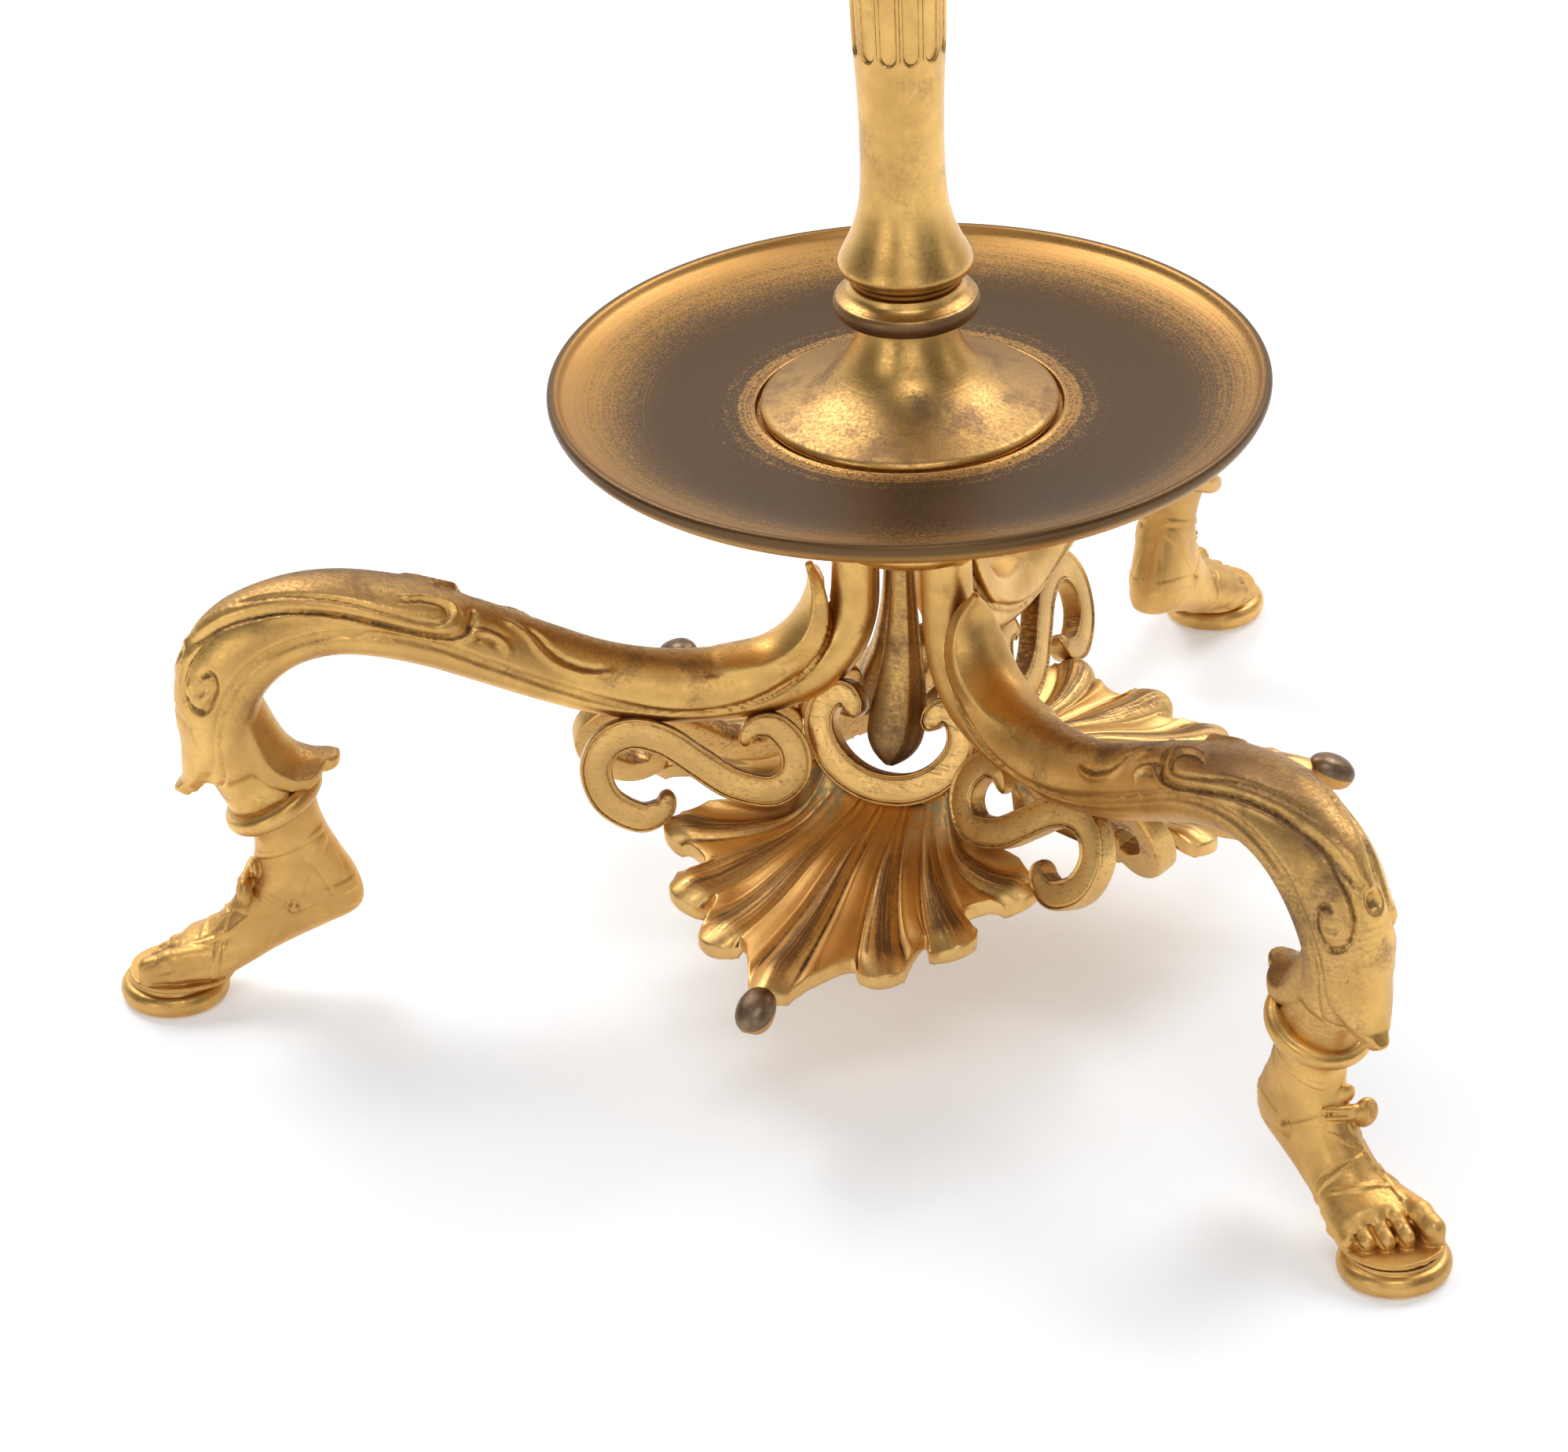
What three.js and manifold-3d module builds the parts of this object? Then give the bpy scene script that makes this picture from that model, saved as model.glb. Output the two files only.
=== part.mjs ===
// Candle stand on three sandalled feet: millimetres, +Z up, origin on the column axis at floor level.
// The three feet stand at 90, 210 and 330 degrees, the three shell aprons halfway between them.
import * as THREE from "three";
import { mergeVertices } from "three/addons/utils/BufferGeometryUtils.js";
import Module from "manifold-3d";

const wasm = await Module();
wasm.setup();

// ---- driving dimensions ----
const GAP = 0.3; // clearance between pieces that touch
const LEG_AZIMUTHS = { back: 90, left: 210, right: 330 };
const APRON_TWIST = 2.2; // the aprons sit this far round from halfway between the legs, in degrees
const APRON_AZIMUTHS = { front: 270, right: 30, left: 150 };

const ROD_R = 2.5; // tie rod through the whole column
const ROD_BORE_R = ROD_R + GAP;
const ROD_FOOT_Z = 88.4;
const ROD_IN_CAPITAL = 12; // length of rod held in the capital

const HUB_FOOT_Z = 88; // underside of the hub flange
const HUB_FLANGE_H = 7;
const HUB_FLANGE_R = 17.5;
const HUB_WAIST_R = 7;
const HUB_SEAT_R = 22;
const HUB_TOP_Z = 110.7;
const NUT_POCKET_R = 5.8;
const NUT_POCKET_H = 5;
const NUT_R = 4.7;
const NUT_H = 3;
const WASHER_R = 5.4;
const WASHER_H = 0.9;

const NECK_TOP_Z = HUB_FOOT_Z - GAP; // top of each leg under the flange
const SCREW_AT_R = 11;
const SCREW_R = 1.5;
const SCREW_HEAD_R = 2.7;
const SCREW_HEAD_H = 2;
const SCREW_DEPTH = 9; // length held in the leg
const SCREW_HOLE_R = SCREW_R + GAP;

const RING_AT = { x: 120.1, z: 40.2 }; // centre of the ankle ring
const RING_TILT = 20; // degrees, outer side low
const RING_R = 7.1;
const RING_TUBE_R = 2.3;
const SHANK_R = RING_R - RING_TUBE_R - GAP;

const TOE_DISC_AT_R = 142;
const TOE_DISC_R = 10.3;
const TOE_DISC_H = 5.2;
const SOLE_Z = TOE_DISC_H + GAP;

const APRON_THICK = 3.2;
const APRON_RIDGE = 1.1;
const APRON_VALLEY = 0.9;
const BEAD_AT = { b: 78, z: 29.6 };
const BEAD_HALF = { along: 4.9, across: 3.9, high: 3.7 };

const BAND_HALF_W = 3; // scroll bands
const BAND_HALF_T = 2.1;
const C_FOOT = { b: 16.4, z: 42.4 }; // middle of the C band at its lowest point
const C_LEAN = 21.5; // degrees from upright
const S_TOP = { d: 3.9, z: 55 }; // S plane: distance from the leg plane at a height
const S_LEAN = 19.8;

const DISH_R = 66;
const DISH_RIM_Z = 119.8;
const DISH_FOOT_Z = HUB_TOP_Z + GAP;
const DISH_FLOOR_Z = 114.3;
const DISH_RECESS_Z = 113.4;
const BOSS_R = 27.4;
const BOSS_FOOT_Z = DISH_RECESS_Z + GAP;
const BOSS_TOP_Z = 132.6;
const BOSS_NECK_R = 8.5;
const COLLAR_FOOT_Z = BOSS_TOP_Z + GAP;
const COLLAR_R = 13.4;
const COLLAR_TOP_Z = 139.4;
const SHAFT_FOOT_Z = COLLAR_TOP_Z + GAP;
const SHAFT_BULB_R = 12.3;
const FLUTES = 12;
const FLUTE_DEPTH = 0.85;
const FLUTE_FOOT_Z = 185.5;
const FLUTE_TOP_Z = 446;
const FLUTE_PHASE = 11; // degrees
const SHAFT_TOP_Z = 456;
const ASTRAGAL_FOOT_Z = SHAFT_TOP_Z + GAP;
const ASTRAGAL_H = 9;
const ASTRAGAL_R = 11.5;
const CAPITAL_FOOT_Z = ASTRAGAL_FOOT_Z + ASTRAGAL_H + GAP;
const CAPITAL_H = 27;
const CAPITAL_R = 17;
const PAN_FOOT_Z = CAPITAL_FOOT_Z + CAPITAL_H + GAP;
const PAN_R = 37;
const PAN_H = 8;
const SOCKET_HOLE_R = 7; // hole in the pan for the nozzle spigot
const SPIGOT_R = SOCKET_HOLE_R - GAP;
const SPIGOT_DEPTH = 9;
const PAN_FLOOR_Z = PAN_FOOT_Z + 3;
const NOZZLE_FOOT_Z = PAN_FLOOR_Z + GAP;
const NOZZLE_H = 42;
const NOZZLE_R = 15.5;
const CANDLE_R = 11;
const CANDLE_DEPTH = 28;

// ---- materials ----
const gilt = new THREE.MeshStandardMaterial({ color: 0xc8963f, roughness: 0.38, metalness: 1 });
const bronze = new THREE.MeshStandardMaterial({ color: 0x76603f, roughness: 0.5, metalness: 1 });
const iron = new THREE.MeshStandardMaterial({ color: 0x4a4744, roughness: 0.6, metalness: 1 });

// ---- helpers ----
const rad = (deg) => (deg * Math.PI) / 180;

// Turns a geometry into a manifold solid that faces out.
function solidOf(geometry) {
  const bare = new THREE.BufferGeometry().setAttribute("position", geometry.getAttribute("position"));
  bare.setIndex(geometry.index);
  const merged = mergeVertices(bare.index ? bare.toNonIndexed() : bare, 1e-4);
  const triVerts = new Uint32Array(merged.index.array);
  const vertProperties = merged.attributes.position.array;
  const made = new wasm.Manifold(new wasm.Mesh({ numProp: 3, vertProperties, triVerts }));
  if (made.volume() > 0) return made;
  for (let i = 0; i < triVerts.length; i += 3) {
    [triVerts[i + 1], triVerts[i + 2]] = [triVerts[i + 2], triVerts[i + 1]];
  }
  return new wasm.Manifold(new wasm.Mesh({ numProp: 3, vertProperties, triVerts }));
}

// Closed skin through rings of points [x, y, z], each ring with the same count.
function loft(rings) {
  const n = rings[0].length;
  const points = rings.flat();
  const middle = (ring) => [0, 1, 2].map((k) => ring.reduce((sum, p) => sum + p[k], 0) / n);
  points.push(middle(rings[0]), middle(rings[rings.length - 1]));
  const index = [];
  for (let i = 0; i + 1 < rings.length; i++) {
    for (let j = 0; j < n; j++) {
      const k = (j + 1) % n;
      const [a, b, c, d] = [i * n + j, i * n + k, (i + 1) * n + k, (i + 1) * n + j];
      index.push(a, b, c, a, c, d);
    }
  }
  const [first, last] = [points.length - 2, points.length - 1];
  const end = (rings.length - 1) * n;
  for (let j = 0; j < n; j++) {
    const k = (j + 1) % n;
    index.push(first, k, j);
    index.push(last, end + j, end + k);
  }
  const geometry = new THREE.BufferGeometry();
  geometry.setAttribute("position", new THREE.Float32BufferAttribute(points.flat(), 3));
  geometry.setIndex(index);
  return solidOf(geometry);
}

// Solid turned about the column axis from a closed outline of [r, z] points.
function turned(outline, segments) {
  const ring = outline[0][0] > 0 ? [...outline, outline[0]] : outline;
  const geometry = new THREE.LatheGeometry(ring.map(([r, z]) => new THREE.Vector2(r, z)), segments);
  geometry.rotateX(Math.PI / 2);
  return solidOf(geometry);
}

function ellipsoid(half, at, across = 10, high = 6) {
  const geometry = new THREE.SphereGeometry(1, across, high);
  geometry.rotateX(Math.PI / 2);
  geometry.scale(...half);
  geometry.translate(...at);
  return solidOf(geometry);
}

const atAzimuth = (solid, azimuth) => solid.rotate([0, 0, azimuth]);

// Table lookup with straight lines between rows [x, y].
function along(table, x) {
  const i = table.findIndex((row) => row[0] >= x);
  if (i === 0) return table[0][1];
  if (i < 0) return table[table.length - 1][1];
  const [[x0, y0], [x1, y1]] = [table[i - 1], table[i]];
  return y0 + ((y1 - y0) * (x - x0)) / (x1 - x0);
}

// Unit directions along a flat path of [u, v] points.
function headings(path) {
  return path.map((_, i) => {
    const a = path[Math.max(i - 1, 0)];
    const b = path[Math.min(i + 1, path.length - 1)];
    const length = Math.hypot(b[0] - a[0], b[1] - a[1]);
    return [(b[0] - a[0]) / length, (b[1] - a[1]) / length];
  });
}

// ---- leg: x runs outward from the column, z up, y across ----
// Rows: x, z of the edge line, half width, height of the rounded back, depth of the belly.
const LEG_ROWS = [
  [9.6, 80, 5.2, 6.0, 3.1],
  [10.3, 73, 5.7, 6.4, 3.3],
  [12.8, 66.6, 6.2, 7.0, 3.6],
  [17.5, 61.4, 6.5, 7.6, 3.9],
  [24, 58.4, 6.6, 8.2, 4.0],
  [32, 56.9, 6.6, 8.8, 4.0],
  [41, 56.4, 6.4, 9.2, 4.0],
  [50, 57.2, 6.3, 9.5, 4.0],
  [60, 59.6, 6.4, 10.0, 4.0],
  [70, 63.5, 6.9, 10.4, 4.0],
  [80, 68.2, 7.7, 10.5, 4.2],
  [90, 72.8, 8.6, 10.3, 4.4],
  [100, 76.0, 9.3, 9.8, 4.5],
  [108, 77.0, 9.6, 9.8, 4.6],
  [115.5, 75.4, 9.7, 10.9, 4.7],
  [121.5, 71.4, 9.6, 12.5, 4.8],
  [125.8, 65.5, 9.3, 12.4, 4.8],
  [127.6, 59.0, 8.8, 10.9, 4.6],
  [127.4, 52.8, 7.6, 9.0, 4.2],
  [125.6, 48.0, 6.2, 6.4, 4.4],
];
const LEG_SIDES = 10;

function legRing(at, heading, halfWidth, back, belly) {
  return Array.from({ length: LEG_SIDES }, (_, i) => {
    const turn = (i * 2 * Math.PI) / LEG_SIDES;
    const lift = Math.sin(turn) * (Math.sin(turn) > 0 ? back : belly);
    return [at[0] - heading[1] * lift, halfWidth * Math.cos(turn), at[1] + heading[0] * lift];
  });
}

// Point on the ankle axis, a length up from the ring centre.
function ankleAt(up) {
  return [RING_AT.x + up * Math.sin(rad(RING_TILT)), RING_AT.z + up * Math.cos(rad(RING_TILT))];
}

// Thin leaf along a path: rows x, z, half width, half thickness.
function leaf(rows, grow = 0) {
  const heads = headings(rows);
  const sides = 6;
  const rings = rows.map(([x, z, w, t], k) => {
    return Array.from({ length: sides }, (_, i) => {
      const turn = (i * 2 * Math.PI) / sides;
      const lift = (t + grow) * Math.sin(turn);
      const y = (w + grow) * Math.cos(turn);
      return [x - heads[k][1] * lift, y, z + heads[k][0] * lift];
    });
  });
  return loft(rings);
}

function legBody(grow = 0) {
  const heads = headings(LEG_ROWS);
  const ankle = [-Math.sin(rad(RING_TILT)), -Math.cos(rad(RING_TILT))];
  const neck = [LEG_ROWS[0][0], NECK_TOP_Z + grow];
  const rings = [
    legRing(neck, [0, -1], 5 + grow, 5.9 + grow, 3 + grow),
    ...LEG_ROWS.map(([x, z, w, h, k], i) => legRing([x, z], heads[i], w + grow, h + grow, k + grow)),
    legRing(ankleAt(3.4), ankle, SHANK_R + grow, SHANK_R + grow, SHANK_R + grow),
    legRing(ankleAt(-RING_TUBE_R), ankle, SHANK_R + grow, SHANK_R + grow, SHANK_R + grow),
  ];
  return loft(rings);
}

const HUB_LEAF = [
  [40, 61.5, 6.4, 3],
  [31, 62.2, 6.8, 3.2],
  [25, 66.0, 7.0, 3],
  [21.3, 71.5, 6.8, 2.4],
  [19.2, 77.5, 5.2, 1.9],
  [19.4, 82.6, 1.6, 1],
];
const CALF_LEAF = [
  [124, 64, 6.4, 1.5],
  [121.8, 57, 6, 1.5],
  [117.6, 52.6, 5, 1.4],
  [112.4, 50.6, 3.2, 1.2],
];
const KNEE_TONGUE = [
  [131.5, 60, 8, 2.4],
  [133.8, 53, 7.2, 2],
  [135.3, 48, 5.4, 1.6],
  [137.4, 45.2, 2.6, 1.1],
];

function leg() {
  const hole = new THREE.CylinderGeometry(SCREW_HOLE_R, SCREW_HOLE_R, SCREW_DEPTH + 2, 12);
  hole.rotateX(Math.PI / 2);
  hole.translate(SCREW_AT_R, 0, NECK_TOP_Z + 1 - SCREW_DEPTH / 2);
  return legBody().add(leaf(HUB_LEAF)).add(leaf(CALF_LEAF)).add(leaf(KNEE_TONGUE)).subtract(solidOf(hole));
}

// Grown copy that neighbours are cut back by, so that they clear the leg.
function legSpace() {
  return legBody(GAP).add(leaf(HUB_LEAF, GAP));
}

function ankleRing() {
  const torus = new THREE.TorusGeometry(RING_R, RING_TUBE_R, 6, 16);
  torus.rotateY(rad(RING_TILT));
  torus.translate(RING_AT.x, 0, RING_AT.z);
  return solidOf(torus);
}

// ---- foot: rows of back point x, z, front point x, z and half width, ankle to toes ----
const FOOT_ROWS = [
  [111.3, 34.4, 125.1, 31.2, 5.5],
  [108.9, 29.4, 125.8, 27.6, 5.5],
  [106.6, 25.0, 127.0, 24.2, 5.7],
  [105.3, 20.6, 128.9, 21.0, 5.9],
  [106.2, 17.4, 131.2, 18.2, 6.0],
  [111.0, 15.2, 133.6, 15.9, 6.1],
  [116.5, 12.8, 136.0, 14.3, 6.4],
  [122.0, 10.2, 138.3, 13.4, 7.0],
  [127.0, 7.6, 140.5, 12.6, 7.6],
  [131.6, SOLE_Z, 142.5, 11.7, 8.0],
  [138.5, SOLE_Z, 145, 9.8, 8.1],
  [145, SOLE_Z, 148, 8, 7.2],
  [149.2, SOLE_Z, 150, 6.6, 4.6],
];
const FOOT_SIDES = 10;
const ANKLE_HALF = 6.2;

function footRing(back, front, halfWidth) {
  const [mx, mz] = [(back[0] + front[0]) / 2, (back[1] + front[1]) / 2];
  const [hx, hz] = [(front[0] - back[0]) / 2, (front[1] - back[1]) / 2];
  return Array.from({ length: FOOT_SIDES }, (_, i) => {
    const turn = (i * 2 * Math.PI) / FOOT_SIDES;
    return [mx - hx * Math.cos(turn), halfWidth * Math.sin(turn), mz - hz * Math.cos(turn)];
  });
}

// Toes and the bow of the sandal lace: centre x, y, z and half sizes; the big toe is on the +y side.
const TOES = [
  [146.2, 5.3, 9.0, 4.6, 2.5, 2.4],
  [146.8, 1.4, 8.3, 4.3, 1.7, 1.9],
  [145.4, -1.7, 8.1, 4.2, 1.6, 1.8],
  [143.4, -4.5, 7.9, 3.9, 1.5, 1.7],
  [140.6, -7.0, 7.8, 3.6, 1.5, 1.7],
];
const BOW = [
  [127.6, 0, 24.3, 2.2, 2.0, 2.2],
  [126.9, 4.2, 23.2, 1.7, 3.2, 2.3],
  [126.9, -4.2, 23.2, 1.7, 3.2, 2.3],
];

function foot() {
  const top = ankleAt(-RING_TUBE_R - GAP);
  const [c, s] = [Math.cos(rad(RING_TILT)) * ANKLE_HALF, Math.sin(rad(RING_TILT)) * ANKLE_HALF];
  const rings = [
    footRing([top[0] - c, top[1] + s], [top[0] + c, top[1] - s], 5.7),
    ...FOOT_ROWS.map(([bx, bz, fx, fz, w]) => footRing([bx, bz], [fx, fz], w)),
  ];
  let made = loft(rings);
  for (const [x, y, z, hx, hy, hz] of [...TOES, ...BOW]) {
    made = made.add(ellipsoid([hx, hy, hz], [x, y, z], 7, 4));
  }
  return made;
}

function toeDisc() {
  const outline = [
    [0, 0],
    [TOE_DISC_R - 1.6, 0],
    [TOE_DISC_R - 0.3, 1.2],
    [TOE_DISC_R, 2.6],
    [TOE_DISC_R - 0.4, 3.9],
    [TOE_DISC_R - 1.7, 4.8],
    [TOE_DISC_R - 2.1, TOE_DISC_H],
    [0, TOE_DISC_H],
  ];
  return turned(outline, 18).translate([TOE_DISC_AT_R, 0, 0]);
}

// ---- apron: b runs outward from the column (x), a across (y), z up ----
// Height of the top along b, and how far it hangs lower away from the middle, along a.
const APRON_HEIGHT = [
  [16, 41.2],
  [18, 40],
  [21, 38.8],
  [28, 38.2],
  [37, 37],
  [48, 34.2],
  [60, 33],
  [70, 32.6],
  [80, 32],
];
const APRON_DROOP = [
  [0, 0],
  [8, 0.8],
  [16, 2.2],
  [21, 1.4],
  [26, 0.5],
  [34, -1],
  [40, -1.2],
];
// Lobes and the valleys between them, from the C scroll to the scalloped edge:
// foot a, b, middle a, b, end a, b, then half the width of a lobe, or 0 for a valley.
const APRON_FAN = [
  [0, 17.6, 0, 46, 0, 74.4, 4.0],
  [2.3, 17.6, 5.4, 43, 9.0, 61.2, 0],
  [4.2, 17.5, 9.6, 41, 17.2, 60.0, 4.3],
  [6.4, 17.4, 13.4, 38, 20.4, 48.8, 0],
  [8.4, 17.3, 17.2, 35.6, 28.0, 50.4, 4.2],
  [10.4, 17.1, 19.4, 32.2, 25.8, 41.2, 0],
  [12.2, 16.8, 22.0, 29.4, 36.4, 35.4, 3.7],
  [14.6, 16.4, 21.6, 24.6, 28.5, 28.6, 0],
];
const APRON_STEPS = 5;

function apronTop(a, b, relief, curl, share) {
  const end = curl * 2.2 * Math.max(0, share - 0.8) * 5;
  return along(APRON_HEIGHT, b) - along(APRON_DROOP, Math.abs(a)) + relief * Math.min(1, share * 3) - end;
}

// A lobe gives three fan lines, its ridge and two shoulders; a valley gives one.
function fanLines([a0, b0, a1, b1, a2, b2, half]) {
  if (!half) return [{ line: [a0, b0, a1, b1, a2, b2], relief: -APRON_VALLEY, curl: 0 }];
  const length = Math.hypot(a2 - a1, b2 - b1);
  const [ua, ub] = [(a2 - a1) / length, (b2 - b1) / length];
  return [-1, 0, 1].map((side) => {
    const at = (a, b, share, back) => {
      const out = side * half * share;
      return [a + ub * out - ua * back, b - ua * out - ub * back];
    };
    const back = side ? half * 0.45 : 0;
    const line = [...at(a0, b0, 0.12, 0), ...at(a1, b1, 0.45, 0), ...at(a2, b2, 0.85, back)];
    return { line, relief: side ? APRON_RIDGE * 0.5 : APRON_RIDGE, curl: 1 };
  });
}

function apron() {
  const right = APRON_FAN.flatMap(fanLines).slice(1);
  const left = right.slice(1).reverse().map(({ line, relief, curl }) => {
    return { line: line.map((value, i) => (i % 2 ? value : -value)), relief, curl };
  });
  // Each fan line becomes a closed strip of top and bottom points; the strips are lofted side to side.
  const rings = [...left, ...right].map(({ line: [a0, b0, a1, b1, a2, b2], relief, curl }) => {
    const top = Array.from({ length: APRON_STEPS + 1 }, (_, i) => {
      const t = i / APRON_STEPS;
      const mix = (p, q, r) => (1 - t) * (1 - t) * p + 2 * t * (1 - t) * (2 * q - (p + r) / 2) + t * t * r;
      const [a, b] = [mix(a0, a1, a2), mix(b0, b1, b2)];
      return [b, a, apronTop(a, b, relief, curl, t)];
    });
    const under = top.map(([b, a, z]) => [b, a, z - APRON_THICK]).reverse();
    return [...top, ...under];
  });
  return loft(rings);
}

function bead() {
  const made = ellipsoid([BEAD_HALF.along, BEAD_HALF.across, BEAD_HALF.high], [0, 0, 0], 12, 8);
  return made.rotate([0, 25, 0]).translate([BEAD_AT.b, 0, BEAD_AT.z]);
}

function beadSpace() {
  const half = [BEAD_HALF.along + GAP, BEAD_HALF.across + GAP, BEAD_HALF.high + GAP];
  return ellipsoid(half, [0, 0, 0], 12, 8).rotate([0, 25, 0]).translate([BEAD_AT.b, 0, BEAD_AT.z]);
}

// Flat band along a path in its own plane: rows u, v, share of full half width.
// place maps (u, v, n) to space, n being the way out of the plane.
function band(rows, place, grow = 0) {
  const heads = headings(rows);
  const rings = rows.map(([u, v, share], k) => {
    const half = BAND_HALF_W * share + grow;
    const edge = half * 0.82;
    const t = BAND_HALF_T + grow;
    const corners = [[half, 0], [edge, t], [-edge, t], [-half, 0], [-edge, -t], [edge, -t]];
    return corners.map(([across, n]) => place(u - heads[k][1] * across, v + heads[k][0] * across, n));
  });
  return loft(rings);
}

// C scroll: u across, v up its leaning plane.
const C_HALF_PATH = [
  [0, 0, 1],
  [5.5, 0.9, 1],
  [10.2, 3.6, 1],
  [13.4, 7.6, 1],
  [14.2, 11.6, 0.95],
  [12.6, 15.0, 0.85],
  [9.6, 15.9, 0.7],
  [7.8, 13.6, 0.6],
];

function cPlace(u, v, n) {
  const [c, s] = [Math.cos(rad(C_LEAN)), Math.sin(rad(C_LEAN))];
  return [C_FOOT.b - s * v + c * n, u, C_FOOT.z + c * v + s * n];
}

function cScroll(grow = 0) {
  const mirrored = C_HALF_PATH.slice(1).reverse().map(([u, v, w]) => [-u, v, w]);
  return band([...mirrored, ...C_HALF_PATH], cPlace, grow);
}

// S scroll beside the leg at +60 degrees: u outward along the leg, v up its leaning plane.
const S_PATH = [
  [33.8, -4.6, 0.5],
  [31.2, -2.4, 0.7],
  [27.4, -2.9, 0.85],
  [24.4, -6.9, 0.95],
  [24.6, -11.6, 1],
  [28.8, -14.7, 1],
  [36.0, -12.8, 1],
  [42.0, -8.4, 1],
  [48.0, -3.8, 1],
  [54.0, -1.8, 1],
  [59.0, -3.4, 1],
  [61.3, -8.2, 1],
  [59.4, -14.0, 0.95],
  [53.8, -17.6, 0.9],
  [49.4, -16.4, 0.7],
  [48.0, -13.4, 0.5],
];

function sScroll(grow = 0) {
  const [c, s] = [Math.cos(rad(S_LEAN)), Math.sin(rad(S_LEAN))];
  const place = (u, v, n) => [u, -(S_TOP.d - s * v + c * n), S_TOP.z + c * v + s * n];
  return atAzimuth(band(S_PATH, place, grow), 60);
}

const mirroredAcross = (solid) => solid.mirror([0, 1, 0]);

// Drop between the leg necks: rows b, z, half width, half depth.
const DROP_ROWS = [
  [5.7, NECK_TOP_Z, 2.1, 1.9],
  [5.7, 80, 2.4, 1.9],
  [6.0, 71, 3.1, 2.2],
  [7.2, 62, 4.5, 2.9],
  [9.0, 56.0, 5.5, 3.4],
  [11.0, 51.8, 5.1, 3],
  [13.4, 48.4, 2.8, 1.8],
  [14.9, 46.7, 0.6, 0.5],
];

// ---- column pieces ----
function hub() {
  const flangeTop = HUB_FOOT_Z + HUB_FLANGE_H;
  const outline = [
    [NUT_POCKET_R, HUB_FOOT_Z],
    [HUB_FLANGE_R - 1.5, HUB_FOOT_Z],
    [HUB_FLANGE_R, HUB_FOOT_Z + 2.5],
    [HUB_FLANGE_R - 1, flangeTop],
    [HUB_WAIST_R + 0.6, flangeTop],
    [HUB_WAIST_R, flangeTop + 1.6],
    [HUB_WAIST_R, flangeTop + 6],
    [HUB_WAIST_R + 3, flangeTop + 9.4],
    [HUB_SEAT_R - 5, HUB_TOP_Z - 3],
    [HUB_SEAT_R, HUB_TOP_Z - 1.6],
    [HUB_SEAT_R, HUB_TOP_Z],
    [ROD_BORE_R, HUB_TOP_Z],
    [ROD_BORE_R, HUB_FOOT_Z + NUT_POCKET_H],
    [NUT_POCKET_R, HUB_FOOT_Z + NUT_POCKET_H],
  ];
  let made = turned(outline, 20);
  for (const azimuth of Object.values(LEG_AZIMUTHS)) {
    const hole = new THREE.CylinderGeometry(SCREW_HOLE_R, SCREW_HOLE_R, HUB_FLANGE_H + 2, 12);
    hole.rotateX(Math.PI / 2);
    hole.translate(SCREW_AT_R, 0, HUB_FOOT_Z + HUB_FLANGE_H / 2);
    made = made.subtract(atAzimuth(solidOf(hole), azimuth));
  }
  return made;
}

function legScrew() {
  const headZ = HUB_FOOT_Z + HUB_FLANGE_H + GAP;
  const outline = [
    [0, NECK_TOP_Z - SCREW_DEPTH + 1],
    [SCREW_R, NECK_TOP_Z - SCREW_DEPTH + 1],
    [SCREW_R, headZ],
    [SCREW_HEAD_R, headZ],
    [SCREW_HEAD_R, headZ + SCREW_HEAD_H - 0.6],
    [SCREW_HEAD_R - 0.7, headZ + SCREW_HEAD_H],
    [0, headZ + SCREW_HEAD_H],
  ];
  return turned(outline, 12).translate([SCREW_AT_R, 0, 0]);
}

function washer() {
  const top = HUB_FOOT_Z + NUT_POCKET_H - GAP;
  const foot = top - WASHER_H;
  return turned([[ROD_BORE_R, foot], [WASHER_R, foot], [WASHER_R, top], [ROD_BORE_R, top]], 16);
}

function nut() {
  const top = HUB_FOOT_Z + NUT_POCKET_H - GAP - WASHER_H - GAP;
  const hexagon = turned([[0, top - NUT_H], [NUT_R, top - NUT_H], [NUT_R, top], [0, top]], 6);
  const bore = [[0, top - NUT_H - 1], [ROD_BORE_R, top - NUT_H - 1], [ROD_BORE_R, top + 1], [0, top + 1]];
  return hexagon.subtract(turned(bore, 16));
}

function tieRod() {
  const top = CAPITAL_FOOT_Z + ROD_IN_CAPITAL - GAP;
  return turned([[0, ROD_FOOT_Z], [ROD_R, ROD_FOOT_Z], [ROD_R, top], [0, top]], 12);
}

function dish() {
  const outline = [
    [ROD_BORE_R, DISH_FOOT_Z],
    [30, DISH_FOOT_Z],
    [46, DISH_FOOT_Z + 0.6],
    [57, DISH_FOOT_Z + 2],
    [63.4, DISH_FOOT_Z + 3.8],
    [DISH_R, DISH_FOOT_Z + 6.2],
    [DISH_R, DISH_RIM_Z - 0.7],
    [DISH_R - 0.6, DISH_RIM_Z],
    [DISH_R - 1.7, DISH_RIM_Z - 0.1],
    [DISH_R - 2.6, DISH_RIM_Z - 1.1],
    [60, 116.9],
    [54, 115.7],
    [45, 114.8],
    [BOSS_R + 0.9, DISH_FLOOR_Z],
    [BOSS_R + 0.5, DISH_RECESS_Z],
    [ROD_BORE_R, DISH_RECESS_Z],
  ];
  return turned(outline, 34);
}

function boss() {
  const outline = [
    [ROD_BORE_R, BOSS_FOOT_Z],
    [BOSS_R - 0.2, BOSS_FOOT_Z],
    [BOSS_R, BOSS_FOOT_Z + 0.9],
    [BOSS_R - 0.5, BOSS_FOOT_Z + 1.9],
    [25, 116.9],
    [19.5, 118.9],
    [14.4, 121.1],
    [11.4, 123.8],
    [9.6, 127.2],
    [BOSS_NECK_R, BOSS_TOP_Z],
    [ROD_BORE_R, BOSS_TOP_Z],
  ];
  return turned(outline, 26);
}

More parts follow.
